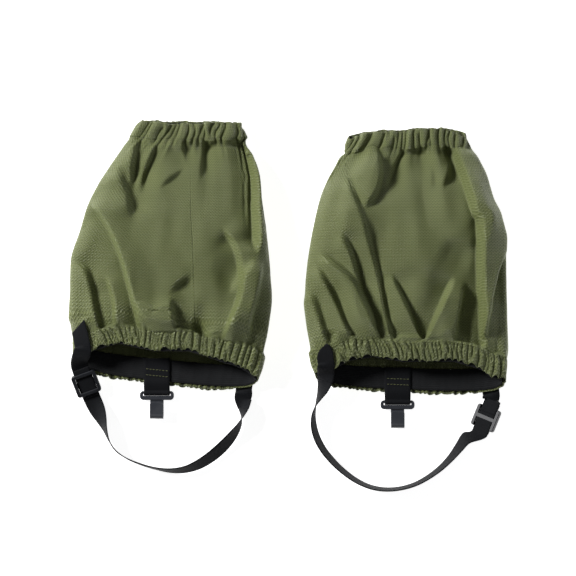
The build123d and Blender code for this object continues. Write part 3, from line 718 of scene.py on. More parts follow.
class Mat:
    def __init__(self, name):
        self.material = bpy.data.materials.new(name)
        self.material.use_nodes = True
        self.tree = self.material.node_tree
        self.tree.nodes.clear()
        output = self.node("ShaderNodeOutputMaterial")
        self.bsdf = self.node("ShaderNodeBsdfPrincipled")
        self.feed(output.inputs[0], self.bsdf.outputs[0])

    def node(self, kind, **settings):
        node = self.tree.nodes.new(kind)
        for key, value in settings.items():
            setattr(node, key, value)
        return node

    def feed(self, socket, value):
        """Link a socket, or set a number or a colour."""
        if isinstance(value, bpy.types.NodeSocket):
            self.tree.links.new(value, socket)
        else:
            socket.default_value = (*value, 1.0) if isinstance(value, tuple) else value

    def set(self, values):
        for name, value in values.items():
            self.feed(self.bsdf.inputs[name], value)

    def math(self, operation, *values):
        node = self.node("ShaderNodeMath", operation=operation)
        for socket, value in zip(node.inputs, values):
            self.feed(socket, value)
        return node.outputs[0]

    def blend(self, *parts):
        """Sum of (value, weight) parts; a third entry is first taken off the value."""
        total = None
        for value, weight, *middle in parts:
            if middle:
                value = self.math("SUBTRACT", value, middle[0])
            part = self.math("MULTIPLY", value, weight)
            total = part if total is None else self.math("ADD", total, part)
        return total

    def wave(self, x, period):
        return self.math("SINE", self.math("MULTIPLY", x, 2 * math.pi / period))

    def clamp(self, value):
        node = self.node("ShaderNodeClamp")
        self.feed(node.inputs[0], value)
        return node.outputs[0]

    def mix(self, share, a, b):
        node = self.node("ShaderNodeMix", data_type="RGBA")
        for index, value in ((0, share), (6, a), (7, b)):
            self.feed(node.inputs[index], value)
        return node.outputs[2]

    def cloth_uv(self):
        separate = self.node("ShaderNodeSeparateXYZ")
        uv_map = self.node("ShaderNodeUVMap", uv_map="UVMap")
        self.feed(separate.inputs[0], uv_map.outputs[0])
        return separate.outputs[0], separate.outputs[1]

    def place(self):
        return self.node("ShaderNodeTexCoord").outputs["Object"]

    def noise(self, vector, scale, detail=3.0, roughness=0.5):
        node = self.node("ShaderNodeTexNoise")
        node.inputs["Scale"].default_value = scale
        node.inputs["Detail"].default_value = detail
        node.inputs["Roughness"].default_value = roughness
        self.feed(node.inputs["Vector"], vector)
        return node.outputs["Fac"]

    def bump(self, height, strength, distance, normal=None):
        node = self.node("ShaderNodeBump")
        node.inputs["Strength"].default_value = strength
        node.inputs["Distance"].default_value = distance
        self.feed(node.inputs["Height"], height)
        if normal is not None:
            self.feed(node.inputs["Normal"], normal)
        return node.outputs[0]


def shell_material(name, light, dark, roughness, crease_shade_share, wrinkle=0.0):
    """Coated satin polyester with a lattice of small diamonds, with shade painted into its
    hollows.
    """
    diamond_u, diamond_v = 3.1, 2.7
    m = Mat(name)
    u, v = m.cloth_uv()
    place = m.place()

    def slanted_lines(operation):
        slant = m.math(operation, m.math("MULTIPLY", u, math.pi / diamond_u),
                       m.math("MULTIPLY", v, math.pi / diamond_v))
        line = m.math("SUBTRACT", 1.0, m.math("ABSOLUTE", m.math("SINE", slant)))
        return m.math("POWER", line, 2.2)   # sharpness of the lines

    crossed = m.math("MAXIMUM", slanted_lines("ADD"), slanted_lines("SUBTRACT"))
    lattice = m.math("SUBTRACT", m.math("MULTIPLY", crossed, 2.0), 1.0)
    rib = m.wave(v, period=diamond_v)
    fine = m.math("MULTIPLY", m.wave(u, period=0.62), m.wave(v, period=0.62))
    weave = m.blend((lattice, 0.60), (rib, 0.22), (fine, 0.12))
    cloud = m.noise(place, scale=14.0, detail=4.0, roughness=0.55)
    speck = m.noise(place, scale=900.0, detail=2.0, roughness=0.6)
    tone = m.blend((weave, 0.72), (cloud, 0.5, 0.5), (speck, 0.25, 0.5))
    colour = m.mix(m.clamp(m.math("ADD", tone, 0.5)), dark, light)
    # painted shade: where the cloth sinks below its neighbours, its colour is mixed towards a
    # near-black olive
    shade_depth = m.node("ShaderNodeAttribute", attribute_name="crease_shade").outputs["Fac"]
    crease_shade_colour = (0.020, 0.025, 0.008)
    colour = m.mix(m.math("MULTIPLY", shade_depth, crease_shade_share), colour, crease_shade_colour)
    uneven = m.math("ADD", roughness, m.blend((cloud, 0.12, 0.5)))
    m.set({"Base Color": colour,
           "Roughness": m.math("ADD", uneven, m.blend((weave, -0.05))),
           "Specular IOR Level": 0.5,
           "Sheen Weight": 0.22,
           "Sheen Roughness": 0.45,
           "Sheen Tint": (0.62, 0.68, 0.40)})
    crumple = m.noise(place, scale=95.0, roughness=0.6)
    normal = m.bump(crumple, strength=0.22, distance=0.0016)
    if wrinkle:
        # creases drawn out along the tube
        stretched = m.node("ShaderNodeCombineXYZ")
        for socket, coordinate, density in zip(stretched.inputs, (u, v), (0.42, 0.10)):
            m.feed(socket, m.math("MULTIPLY", coordinate, density))
        creases = m.noise(stretched.outputs[0], scale=1.0, roughness=0.6)
        normal = m.bump(creases, strength=wrinkle, distance=0.0022, normal=normal)
    m.set({"Normal": m.bump(weave, strength=1.0, distance=0.00042, normal=normal)})
    return m.material


def webbing_material(name, dark, light):
    m = Mat(name)
    u, v = m.cloth_uv()
    place = m.place()
    ribs = m.wave(v, period=0.95)
    warp = m.wave(u, period=1.3)
    zigzag, rows_per_mm = 3.6, 2 * math.pi / 1.9
    chevron = m.math("SINE", m.blend((m.math("PINGPONG", u, 1.0), zigzag), (v, rows_per_mm)))
    weave = m.math("ADD", m.blend((ribs, 0.45)), m.blend((warp, 0.25), (chevron, 0.3)))
    fuzz = m.noise(place, scale=2200.0, detail=2.0, roughness=0.7)
    cloud = m.noise(place, scale=60.0)
    tone = m.math("ADD", m.blend((weave, 0.25)), m.blend((fuzz, 0.5), (cloud, 0.35)))
    fibre = m.mix(m.clamp(m.math("SUBTRACT", tone, 0.1)), dark, light)
    m.set({"Base Color": fibre,
           "Roughness": m.math("ADD", 0.62, m.blend((fuzz, 0.2))),
           "Specular IOR Level": 0.14,
           "Sheen Weight": 0.04,
           "Sheen Roughness": 0.5})
    fuzzy = m.bump(fuzz, strength=0.25, distance=0.0001)
    m.set({"Normal": m.bump(weave, strength=0.6, distance=0.00018, normal=fuzzy)})
    return m.material


def elastic_material(name, dark, light):
    m = Mat(name)
    u, v = m.cloth_uv()
    place = m.place()
    weave = m.blend((m.wave(v, period=1.5), 0.6), (m.wave(u, period=0.9), 0.4))
    fuzz = m.noise(place, scale=1800.0, detail=2.0, roughness=0.7)
    tone = m.math("ADD", m.blend((weave, 0.2)), m.math("ADD", m.blend((fuzz, 0.5)), 0.2))
    m.set({"Base Color": m.mix(m.clamp(tone), dark, light),
           "Roughness": 0.85,
           "Specular IOR Level": 0.2,
           "Sheen Weight": 0.12,
           "Normal": m.bump(weave, strength=0.7, distance=0.0002)})
    return m.material


def thread_material(name, dark, light):
    m = Mat(name)
    around, along = m.cloth_uv()
    turns_along, turns_around = 9.0, 12.6   # radians of twist per unit of UV
    twist = m.math("SINE", m.blend((along, turns_along), (around, turns_around)))
    m.set({"Base Color": m.mix(m.math("ADD", m.blend((twist, 0.4)), 0.5), dark, light),
           "Roughness": 0.6,
           "Sheen Weight": 0.3,
           "Normal": m.bump(twist, strength=0.6, distance=0.0001)})
    return m.material


def plastic_material(name, colour, edge_highlight, roughness):
    """Moulded plastic: fine satin grain, faint clouding, glossier on sharp edges, which carry a
    painted highlight.
    """
    m = Mat(name)
    place = m.place()
    grain = m.noise(place, scale=2600.0, detail=2.0, roughness=0.6)
    cloud = m.noise(place, scale=120.0)
    mottle = m.noise(place, scale=420.0, detail=4.0, roughness=0.75)
    edge = m.node("ShaderNodeNewGeometry").outputs["Pointiness"]
    sharp_edges = m.node("ShaderNodeMapRange")
    sharp_edges.inputs["From Min"].default_value = 0.52
    sharp_edges.inputs["From Max"].default_value = 0.62
    m.feed(sharp_edges.inputs["Value"], edge)
    # painted highlight: sharp edges, broken up by noise, are mixed towards a lighter blue-grey
    edge_highlight_share = m.math("MULTIPLY", sharp_edges.outputs[0], m.math("ADD", 0.35, mottle))
    clouded = m.mix(cloud, colour, tuple(c * 1.35 for c in colour))
    m.set({"Base Color": m.mix(m.clamp(edge_highlight_share), clouded, edge_highlight)})
    polish = m.math("SUBTRACT", m.blend((mottle, 0.18)), m.blend((edge_highlight_share, 0.1)))
    m.set({"Roughness": m.math("ADD", roughness, polish),
           "Specular IOR Level": 0.5,
           "Coat Weight": 0.06,
           "Coat Roughness": 0.25,
           "Normal": m.bump(grain, strength=0.25, distance=0.00006)})
    return m.material


# Keyed by slot name.
MATERIALS = {
    "shell_fabric": shell_material(
        "shell_fabric", light=(0.235, 0.262, 0.105), dark=(0.120, 0.142, 0.046),
        roughness=0.38, crease_shade_share=0.7),
    "hem_fabric": shell_material(
        "hem_fabric", light=(0.250, 0.278, 0.112), dark=(0.115, 0.137, 0.044),
        roughness=0.40, crease_shade_share=0.9, wrinkle=1.0),
    "black_webbing": webbing_material(
        "black_webbing", dark=(0.003, 0.0034, 0.0043), light=(0.0105, 0.0116, 0.0146)),
    "elastic": elastic_material(
        "knitted_elastic", dark=(0.004, 0.0045, 0.005), light=(0.016, 0.017, 0.019)),
    "olive_thread": thread_material(
        "olive_thread", dark=(0.11, 0.12, 0.035), light=(0.24, 0.26, 0.10)),
}
HOOK_PLASTIC = plastic_material(
    "hook_plastic", colour=(0.020, 0.0225, 0.029), edge_highlight=(0.09, 0.094, 0.105), roughness=0.28)
BUCKLE_PLASTIC = plastic_material(
    "buckle_plastic", colour=(0.0075, 0.0085, 0.0115), edge_highlight=(0.035, 0.037, 0.044),
    roughness=0.36)


def dress(ob, slot, *replaced):
    """Give a piece its material and hide the CAD nodes it stands for."""
    ob.data.materials.clear()
    ob.data.materials.append(MATERIALS[slot])
    if replaced:
        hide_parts(*replaced)


# --------------------------------------------------------------- one gaiter

# Cloth length round the tube over the tube's own girth, by station.
SLACK_STATIONS = [0, 1, 2, 4, 6.5, 9, 11, 12]
SLACK = [1.5, 1.34, 1.12, 1.04, 1.02, 1.035, 1.12, 1.15]

# Solver levels, coarse to fine: grid divisor, steps, pull to the start shape, bending
# stiffness, blur passes on the start shape, share of the slack let in.
LEVELS = [(4, 260, 0.02, 0.10, 10, 0.45), (2, 220, 0.012, 0.07, 3, 0.8),
          (1, 150, 0.010, 0.10, 0, 0.85)]


class Gaiter:
    def __init__(self, design):
        self.design = design
        self.body = self.named("gaiter")
        self.strap = self.named("strap")
        self.tube = Tube(design.stations)
        self.last = self.tube.last
        half_rim = self.tube.section(self.last).half_width
        # sewn strap ends: u, on the upper face, first station, slant
        self.anchors = [
            (design.near_share * half_rim, True, design.near_station, design.near_drift),
            (design.far_share * half_rim, False, ANCHOR_STATION, 0.0)]
        self.cols, self.rows = ((448, 176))
        self.share = np.arange(self.cols) / self.cols
        self.upper = self.share < 0.5
        self.place_rows()
        self.rings = np.array([self.tube.section(v).total for v in self.stations])
        self.held = (self.stations <= 1.0) | (self.stations >= self.last - 1.0)
        self.grid = self.settled_cloth(*self.starting_cloth())
        self.run = path_run(self.grid[:, self.cols // 4])

    def named(self, part):
        return self.design.side + "_" + part

    def add(self, ob, slot, *replaced, rides=None):
        dress(ob, slot, *map(self.named, replaced))
        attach(ob, rides or self.body)

    # ---- cloth

    def place_rows(self):
        """Even rows along the tube, with one exactly on each hem line."""
        last = self.last
        fine = np.linspace(0, last, 241)
        middle = np.array([[(q.y_upper + q.y_under) / 2, q.x_mid]
                           for q in map(self.tube.section, fine)])
        run = cumulative(np.hypot(np.diff(middle[:, 0]), np.diff(middle[:, 1])))
        v = np.interp(np.linspace(0, run[-1], self.rows), run, fine)
        top = int(np.argmin(np.abs(v - 1.0)))
        bottom = int(np.argmin(np.abs(v - (last - 1.0))))
        body_run = np.linspace(np.interp(1.0, fine, run), np.interp(last - 1, fine, run),
                               bottom - top + 1)
        self.stations = np.concatenate([np.linspace(0, 1, top + 1)[:-1],
                                        np.interp(body_run, run, fine)[:-1],
                                        np.linspace(last - 1, last, self.rows - bottom)])
        self.top_row, self.bottom_row = top, bottom

    def surface(self, offset):
        return np.stack([
            self.tube.at(v, self.tube.section(v).total * np.arange(self.cols) / self.cols, offset)
            for v in self.stations])

    def anchor_arc(self, v, u, upper, drift):
        return self.tube.arc_of(v, u, upper) + drift * max(0.0, self.last - v)

    def body_relief(self, base, facing_up, rng):
        """Long folds and gentle unevenness between the hems."""
        v, last, rows, cols = self.stations, self.last, self.rows, self.cols
        body = smooth(v, 0.9, 1.9)[:, None] * (1 - smooth(v, last - 2.1, last - 1.0))[:, None]
        relief = fold_relief(self.design.folds, base[:, :, 0], base[:, :, 1], self.upper)
        relief *= smooth(facing_up, 0.2, 0.75)
        relief += body * (0.3 + 0.7 * smooth(facing_up, 0.0, 0.6)) * (
            2.5 * rough(rows, cols, 4, 20, rng) + 1.15 * rough(rows, cols, 8, 40, rng))
        relief *= smooth(v, 0.95, 1.5)[:, None] * (1 - smooth(v, last - 1.5, last - 0.95))[:, None]
        return relief

    def hem_relief(self, rng):
        """Pleats of the gathered hems."""
        cols = self.cols
        relief = np.zeros((self.rows, cols))
        # distance from the rim in stations, girth, pleat pitch, height, slant, sway
        hems = ((self.stations, self.rings[0], 8.0, 4.3, -5.0, 3.2),
                (self.last - self.stations, self.rings[-1], 5.2, 3.1, -1.0, 2.0))
        for from_rim, ring, pitch, height, slant, sway in hems:
            ring = float(ring)
            arc = np.arange(cols) * ring / cols
            one, two = pleats(ring, pitch, rng), pleats(ring, pitch * 0.8, rng)
            lean = slant + sway * ring_noise(cols, int(ring / 16), rng)
            bow = ring_noise(cols, int(ring / 9), rng)
            swap = ring_noise(cols, int(ring / 12), rng)
            for j in np.where(from_rim <= 1.0)[0]:
                t = from_rim[j]
                arch = math.sin(math.pi * t)
                place = arc + lean * (t - 0.5) + 1.1 * bow * arch
                mix = smooth(swap + 2.2 * (t - 0.5), -0.6, 0.6)
                wave = (1 - mix) * one(place) + mix * (0.8 * two(place))
                edge = 0.80 + 0.25 * arch
                relief[j] = height * wave * edge * np.where(self.upper, 1.0, 0.62)
        return relief

    def gather_relief(self, hem, rng):
        """The pleats flow on into the body as fewer, broader gathers."""
        rows, cols = self.rows, self.cols
        broad_top = ring_noise(cols, int(self.rings[0] / 10), rng)
        broad_bottom = ring_noise(cols, int(self.rings[-1] / 11), rng)
        relief = np.zeros((rows, cols))
        # hem line row, direction, pleat reach, broad gathers, their height and reach
        for row, step, pleat_reach, broad, height, reach in (
                (self.top_row, 1, 0.04, broad_top, 3.6, 0.10),
                (self.bottom_row, -1, 0.03, broad_bottom, 3.8, 0.11)):
            for away in range(rows // 3):
                k = away / rows
                relief[row + step * away] += (
                    0.8 * hem[row] * math.exp(-k / pleat_reach)
                    + height * broad * math.exp(-k / reach) * min(1.0, 0.25 + k * 14))
        return relief

    def strap_press(self):
        """Close to 0 where a sewn strap end presses the pleats flat, 1 elsewhere."""
        press = np.ones((self.rows, self.cols))
        for u, upper, _, drift in self.anchors:
            for j, v in enumerate(self.stations):
                if v > ANCHOR_STATION - 0.5:
                    ring = self.rings[j]
                    arc = self.anchor_arc(v, u, upper, drift)
                    gap = np.abs((self.share * ring - arc + ring / 2) % ring - ring / 2)
                    press[j] *= 0.05 + 0.95 * smooth(gap, 9.0, 12.5)
        return press

    def starting_cloth(self):
        """Start shape of the cloth, and the plain tube it covers."""
        design, last, cols = self.design, self.last, self.cols
        rng = np.random.default_rng(design.seed)
        base = self.surface(FABRIC_T / 2)
        out = self.surface(FABRIC_T / 2 + 1.0) - base
        start = base + self.body_relief(base, out[:, :, 2], rng)[:, :, None] * out
        start[:, :, 2] = np.maximum(start[:, :, 2], 0.9)
        hem = self.hem_relief(rng)
        gathers = self.gather_relief(hem, rng)
        press = self.strap_press()
        hem *= press
        gathers *= press
        hem_cloth = base + (0.55 * press + hem)[:, :, None] * out
        start = start + gathers[:, :, None] * out
        start[self.held] = hem_cloth[self.held]

        # the stitch lines pucker, and the rims wave a little along the tube
        pucker = 0.8 * ring_noise(cols, int(self.rings[0] / 7), rng)
        wave = 0.5 * ring_noise(cols, 20, rng) + 0.35 * ring_noise(cols, 60, rng)
        wave = wave + 0.5 * np.roll(hem[-1], 2)
        for j, v in enumerate(self.stations):
            k = (math.exp(-((v - 1.0) / 0.35) ** 2)
                 + 0.8 * math.exp(-((v - last + 1.0) / 0.3) ** 2))
            start[j, :, 1] += k * pucker
            base[j, :, 1] += k * pucker
            if v > last - 1:
                start[j, :, 1] += 0.55 * wave * (v - last + 1) ** 2
            if v < 1:
                start[j, :, 1] += 0.5 * np.roll(wave, 31) * (1 - v) ** 2
        rim = rim_sway(design.rim, start[-1, :, 0], start[-1, :, 2], self.upper)
        cuff = profile(design.cuff, start[0, :, 0]) + 0.35 * np.roll(hem[0], 3)
        cuff = cuff * np.where(self.upper, 1.0, 0.5)
        for sway in (cuff * (1 - smooth(self.stations, 0.0, 2.0))[:, None],
                     rim * smooth(self.stations, last - 3.2, last)[:, None]):
            start[:, :, 1] += sway
            base[:, :, 1] += sway
        return start, base

    def settled_cloth(self, start, base):
        rows, cols, last, held = self.rows, self.cols, self.last, self.held
        girth = np.interp(SLACK_STATIONS, self.stations, self.rings) * SLACK
        full = np.interp(self.stations, SLACK_STATIONS, girth)
        along = lengths(base[1:] - base[:-1]) * 1.015
        z_min = base[:, :, 2].min(1)[:, None]
        z_max = base[:, :, 2].max(1)[:, None]
        z_low = np.where(self.upper, z_min + 2.0, 0.95)
        z_high = np.where(self.upper, 46.0, np.maximum(z_max - 2.0, z_min + 3.0))
        moved = np.zeros_like(start)
        for divisor, steps, pull, bend, blurs, slack_share in LEVELS:
            r, c = rows // divisor, cols // divisor
            target = resample(blur(start, blurs), r, c)
            v = np.interp(np.linspace(0, rows - 1, r), np.arange(rows), self.stations)
            ring = np.interp(v, self.stations, self.rings)
            excess = np.interp(v, self.stations, full) / ring
            rest_around = np.maximum(((1 + (excess - 1) * slack_share) * ring / c)[:, None],
                                     0.97 * lengths(np.roll(target, -1, 1) - target))
            rest_along = np.maximum(resample(along, r - 1, c) * (rows - 1) / (r - 1),
                                    0.97 * lengths(target[1:] - target[:-1]))
            free = ((v > 1.0) & (v < last - 1.0)).astype(float)[:, None]
            free = (free * smooth(v, 1.0, 1.15)[:, None]
                    * (1 - smooth(v, last - 1.15, last - 1.0))[:, None])
            moved = relax(target + resample(moved, r, c), target, rest_around, rest_along,
                          free, pull, steps, bend,
                          resample(z_low, r, c), resample(z_high, r, c)) - target
        cloth = start + moved
        cloth[held] = start[held]
        # a last light smoothing of the free rows
        for _ in range(2):
            s = cloth.copy()
            s[1:-1] = 0.5 * cloth[1:-1] + 0.125 * (
                cloth[2:] + cloth[:-2] + np.roll(cloth, 1, 1)[1:-1] + np.roll(cloth, -1, 1)[1:-1])
            cloth = np.where(held[:, None, None], cloth, s)
        return cloth

    # ---- panels, seams and hems

    def seam_columns(self, u_at, upper):
        return np.array([self.tube.arc_of(v, u_at(v), upper) / self.tube.section(v).total
                         * self.cols for v in self.stations])

    def strip_between(self, a, b, n):
        """Cloth between the hem lines, n points across from column a to column b."""
        points, uvs = [], []
        for j in range(self.top_row, self.bottom_row + 1):
            c = np.linspace(a[j], b[j], n)
            i = np.floor(c).astype(int)
            t = (c - i)[:, None]
            row = self.grid[j]
            points.append(row[i % self.cols] * (1 - t) + row[(i + 1) % self.cols] * t)
            uvs.append(np.stack([c * CLOTH_AROUND / self.cols, np.full(n, self.run[j])], 1))
        return np.array(points), np.array(uvs)

    def build_panels(self):
        """Two panels, meeting at the back seam (upper face) and the front seam (underside)."""
        cols = self.cols
        back = self.seam_columns(lambda v: float(at_station(self.design.back_seam, v)), True)
        front = self.seam_columns(lambda v: FRONT_SEAM_U, False)
        gap = PANEL_GAP * cols / CLOTH_AROUND
        lateral_cols = int(np.mean(front - back))
        for part, a, b, n in (("lateral", back + gap, front - gap, lateral_cols),
                              ("medial", front + gap, back + cols - gap, cols - lateral_cols)):
            cloth = sheet(self.named(part + "_cloth"), *self.strip_between(a, b, n), PANEL_T)
            self.add(cloth, "shell_fabric", part + "_panel")
        self.build_seam("back", back)
        self.build_seam("front", front)

    def build_seam(self, tag, line):
        """Narrow raised fell with its thread."""
        half = FELL_HALF_W * self.cols / CLOTH_AROUND
        points, uvs = self.strip_between(line - half, line + half, 7)
        across = points[:, -1] - points[:, 0]
        normal = unit_rows(np.cross(np.gradient(points[:, 3], axis=0), across))
        lift = 0.12 + np.array([0.0, 0.26, 0.34, 0.05, 0.34, 0.26, 0.0])
        points = points + normal[:, None, :] * lift[None, :, None]
        self.add(sheet(self.named(tag + "_seam_fell"), points, uvs, FELL_T), "shell_fabric")
        thread = stitches(self.named(tag + "_seam_stitching"), points[:, 4] + normal * 0.32,
                          normal, length=2.2, gap=0.9, radius=0.2, rise=0.05)
        self.add(thread, "olive_thread", tag + "_seam")

    def build_hems(self):
        grid = self.grid
        uv = np.stack(np.broadcast_arrays(self.share * CLOTH_AROUND, self.run[:, None]), 2)
        for tag, rows in (("top", slice(0, self.top_row + 1)),
                          ("bottom", slice(self.bottom_row, self.rows))):
            hem = sheet(self.named(tag + "_hem_cloth"), grid[rows], uv[rows], HEM_T, closed=True)
            self.add(hem, "hem_fabric", tag + "_hem")
        for tag, j in (("top", self.top_row - 1), ("bottom", self.bottom_row + 1)):
            ring = grid[j]
            du = np.roll(ring, -1, 0) - np.roll(ring, 1, 0)
            normal = unit_rows(np.cross(grid[j + 1] - grid[j - 1], du))
            normal = np.concatenate([normal, normal[:1]])
            path = np.concatenate([ring, ring[:1]]) + normal * 0.5
            thread = stitches(self.named(tag + "_hem_stitching"), path, normal,
                              length=2.3, gap=1.0, radius=0.22, rise=0.05)
            self.add(thread, "olive_thread", tag + "_hem_stitch")

    def build_elastic(self, tag, first, final, rows, ring, seed_step):
        """Rippled elastic band inside a hem, from station first to final."""
        tube, design = self.tube, self.design
        n = 300
        v = np.linspace(first, final, rows)
        share = np.arange(n) / n
        upper = share < 0.5
        rng = np.random.default_rng(design.seed + seed_step)
        ripple = 0.28 * pleats(float(ring), 7.5, rng)(share * ring)
        inner, outer = (np.stack([tube.at(k, share * tube.section(k).total, offset) for k in v])
                        for offset in (-0.8, 0.2))
        band = inner + (outer - inner) * ripple[None, :, None]
        if tag == "top":
            x = band[0, :, 0]
            sway = profile(design.cuff, x) * np.where(upper, 1.0, 0.5)
            # the band sits inside the rim, deeper at its two ends
            x_mid, x_half = (x.min() + x.max()) / 2, (x.max() - x.min()) / 2
            sink = 0.8 + 1.6 * smooth(np.abs(x - x_mid) / x_half, 0.78, 0.95)
            band[:, :, 1] += (sway - sink)[None] * (1 - smooth(v, 0.0, 2.0))[:, None]
        else:
            sway = rim_sway(design.rim, band[-1, :, 0], band[-1, :, 2], upper)
            band[:, :, 1] += sway[None] * smooth(v, self.last - 3.2, self.last)[:, None]
        uv = np.stack(np.broadcast_arrays(share * ring, (v * 18.0)[:, None]), 2)
        ob = sheet(self.named(tag + "_elastic_band"), band, uv, ELASTIC_T, closed=True)
        self.add(ob, "elastic", tag + "_elastic")

    # ---- strap

    def hinge(self, u, upper):
        """Point just past the rim where a strap end bends."""
        rim, inner = (self.tube.point(v, self.tube.arc_of(v, u, upper), ANCHOR_MID)
                      for v in (self.last, self.last - 0.1))
        return rim + unit(rim - inner) * HINGE_OUT

    def anchor_frames(self, u, upper, first, drift, across, lift):
        """Frames of a sewn end on the hem's outside, lifted from lift[0] to lift[1]."""
        frames = []
        for v in np.linspace(first, self.last + 0.02, 9):
            arc = self.anchor_arc(v, u, upper, drift)
            middle = self.tube.point(v, arc, ANCHOR_MID)
            width = unit(self.tube.point(v, arc + 6, ANCHOR_MID)
                         - self.tube.point(v, arc - 6, ANCHOR_MID))
            if np.dot(width, across) <= 0:
                width = -width
            normal = unit(self.tube.point(v, arc, ANCHOR_MID + 1) - middle)
            height = lift[0] + (lift[1] - lift[0]) * (v - first) / (self.last - first)
            frames.append((middle + normal * height, width, normal))
        return frames

    def loop_frames(self, before, after, buckle_z):
        """Frames of the free loop; the last points of a loop that ends at the buckle
        climb towards it."""
        loop = self.design.loop
        points = []
        for i, (x, y, z, roll) in enumerate(loop):
            rest = floor_clearance(roll)
            if not self.design.buckle_at_start and i > len(loop) - 4:
                rest = max(rest, lerp(buckle_z, rest, min(1.0, (len(loop) - i) / 3.0)))
            points.append(np.array((x, y, z or rest)))
        path = [before] + points + [after]
        return [(here, *rolled(unit(b - a), entry[3]))
                for a, here, b, entry in zip(path, points, path[2:], loop)]

    def build_strap(self):
        design = self.design
        near_hinge, far_hinge = [self.hinge(u, upper) for u, upper, _, _ in self.anchors]
        axis = unit(far_hinge - near_hinge)
        away = unit(np.cross(axis, (0, 0, 1)))      # level, towards -y
        if away[1] > 0:
            away = -away
        up = unit(np.cross(axis, away))
        if up[2] < 0:
            up = -up
        across = axis if np.dot(axis, np.cross(up, away)) > 0 else -axis

        # straight run through the buckle
        yaw, pitch = math.radians(design.buckle_yaw), math.radians(design.buckle_pitch)
        travel = np.array([math.sin(yaw) * math.cos(pitch), -math.cos(yaw) * math.cos(pitch),
                           -math.sin(pitch)])
        if not design.buckle_at_start:
            travel = -travel
        width, normal = rolled(travel, design.buckle_roll)
        extra0, extra1 = (5.6, 4.2) if design.buckle_at_start else (4.2, 5.6)
        centre = np.array(design.buckle_centre)
        run0 = centre - travel * (BUCKLE_L / 2 + extra0)
        run1 = centre + travel * (BUCKLE_L / 2 + extra1)
        straight = [(lerp(run0, run1, k), width, normal)
                    for k in (0.0, 0.03, 0.35, 0.65, 0.97, 1.0)]

        start = [(near_hinge + away * HINGE_GAP, across, up),
                 (near_hinge + away * (HINGE_GAP + 2.2) - up * 0.4, across, up)]
        end = [(far_hinge + away * (HINGE_GAP + 2.2), across, -up),
               (far_hinge + away * HINGE_GAP, across, -up)]
        if design.buckle_at_start:
            free = self.loop_frames(run1, far_hinge + away * 6.0, run0[2])
            frames = start + straight + free + end
        else:
            free = self.loop_frames(near_hinge + away * 4.0, run0, run0[2])
            # a tight turn from the buckle to the hinge
            first = (run1 + travel * 1.3, width, normal)
            middle = (lerp(first[0], end[0][0], 0.5), unit(lerp(width, across, 0.5)),
                      unit(lerp(normal, -up, 0.5)))
            frames = start + free + straight + [first, middle] + end

        near = self.anchor_frames(*self.anchors[0], across, lift=(0.7, 1.9))
        far = self.anchor_frames(*self.anchors[1], across, lift=(0.1, 0.0))
        raised = [(point + up * rise, w, n)
                  for (point, w, n), rise in zip(frames, design.raised)]
        cut = len(raised)
        # each hinge gets its own piece; the long loop rides on the strap alone
        self.sewn_end("near", near + raised + frames[cut:cut + 2],
                      design.near_shear, design.near_taper)
        self.sewn_end("far", frames[-design.far_frames:] + far[::-1])
        loop = frames[cut + 1:1 - design.far_frames]
        webbing = ribbon(self.named("instep_webbing"), loop, WEB_W, WEB_T * 1.06)
        self.add(webbing, "black_webbing", "instep_strap", rides=self.strap)

        # return ply through the buckle, its free end lying on the strap
        middle = lerp(run0, run1, 0.5) + normal * (WEB_T + PLY_GAP + 0.06)
        half = (math.dist(run0, run1) - 2.5) / 2
        ply = [(middle + travel * k, width, normal) for k in (-half, 0.0, half)]
        webbing = ribbon(self.named("return_webbing"), ply, WEB_W, WEB_T)
        self.add(webbing, "black_webbing", "return_ply", rides=self.strap)

    def sewn_end(self, tag, frames, shear=0.0, taper=0.0):
        ob = ribbon(self.named(tag + "_strap_end"), frames, WEB_W, WEB_T * 1.06,
                    shear=shear, taper=taper)
        dress(ob, "black_webbing", self.named(tag + "_anchor"))
        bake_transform(ob)

    # ---- hook tab

    def build_tab(self):
        """Webbing sewn inside the underside's rim and folded round the hook's bar."""
        tube, last = self.tube, self.last
        bar = np.array(self.design.hook_bar)
        across = np.array([1.0, 0, 0])

        def tab_arc(v):
            return tube.arc_of(v, bar[0] - float(at_station(tube.columns[2], v)), False)

        frames = []
        for v in np.linspace(TAB_STATION - 0.15, last, 7):
            point = tube.point(v, tab_arc(v), TAB_MID)
            outer = tube.point(v, tab_arc(v), TAB_MID + 1)
            frames.append((point, across, -unit(outer - point)))
        rim = tube.point(last, tab_arc(last), TAB_MID)
        hinge = np.array([bar[0], rim[1] - TAB_HINGE_IN, rim[2]])
        slope = math.atan2(hinge[2] - bar[2], hinge[1] - bar[1])
        back = np.array([0, math.cos(slope), math.sin(slope)])      # from bar to hinge
        up = np.array([0, -math.sin(slope), math.cos(slope)])
        frames.append((hinge, across, up))
        for distance in (3.6, 2.6):
            frames.append((bar + back * distance + up * TAB_T / 2, across, up))
        # round the bar: from the top side, over the far side and back underneath
        loop_radius = LOOP_R + TAB_T / 2 + 0.22
        for degrees in np.linspace(75, 285, 12):
            angle = math.radians(degrees)
            radial = back * math.cos(angle) + up * math.sin(angle)
            frames.append((bar + radial * loop_radius, across, radial))
        return_end = (hinge[1] - bar[1]) / math.cos(slope) - TAB_HINGE_GAP
        for distance in (2.6, 3.6, return_end):
            frames.append((bar + back * distance - up * TAB_T / 2, across, -up))
        tab = ribbon(self.named("hook_tab_webbing"), frames, TAB_W, TAB_T * 0.98,
                     step=0.6, cols=13)
        dress(tab, "black_webbing", self.named("hook_tab"), self.named("tab_loop"))
        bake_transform(tab)

        half = TAB_W / 2 - 1.4
        for number, v, replaced in ((1, last - 0.38, ["hook_tab_stitch"]),
                                    (2, last - 0.12, [])):
            path = [tube.point(v, tab_arc(v) + k, TAB_IN - 0.05)
                    for k in np.linspace(-half, half, 12)]
            thread = stitches(self.named("tab_stitching_%d" % number), path,
                              [(0, 0, 1.0)] * len(path),
                              length=2.2, gap=0.8, radius=0.26, rise=0.06)
            self.add(thread, "olive_thread", *replaced)

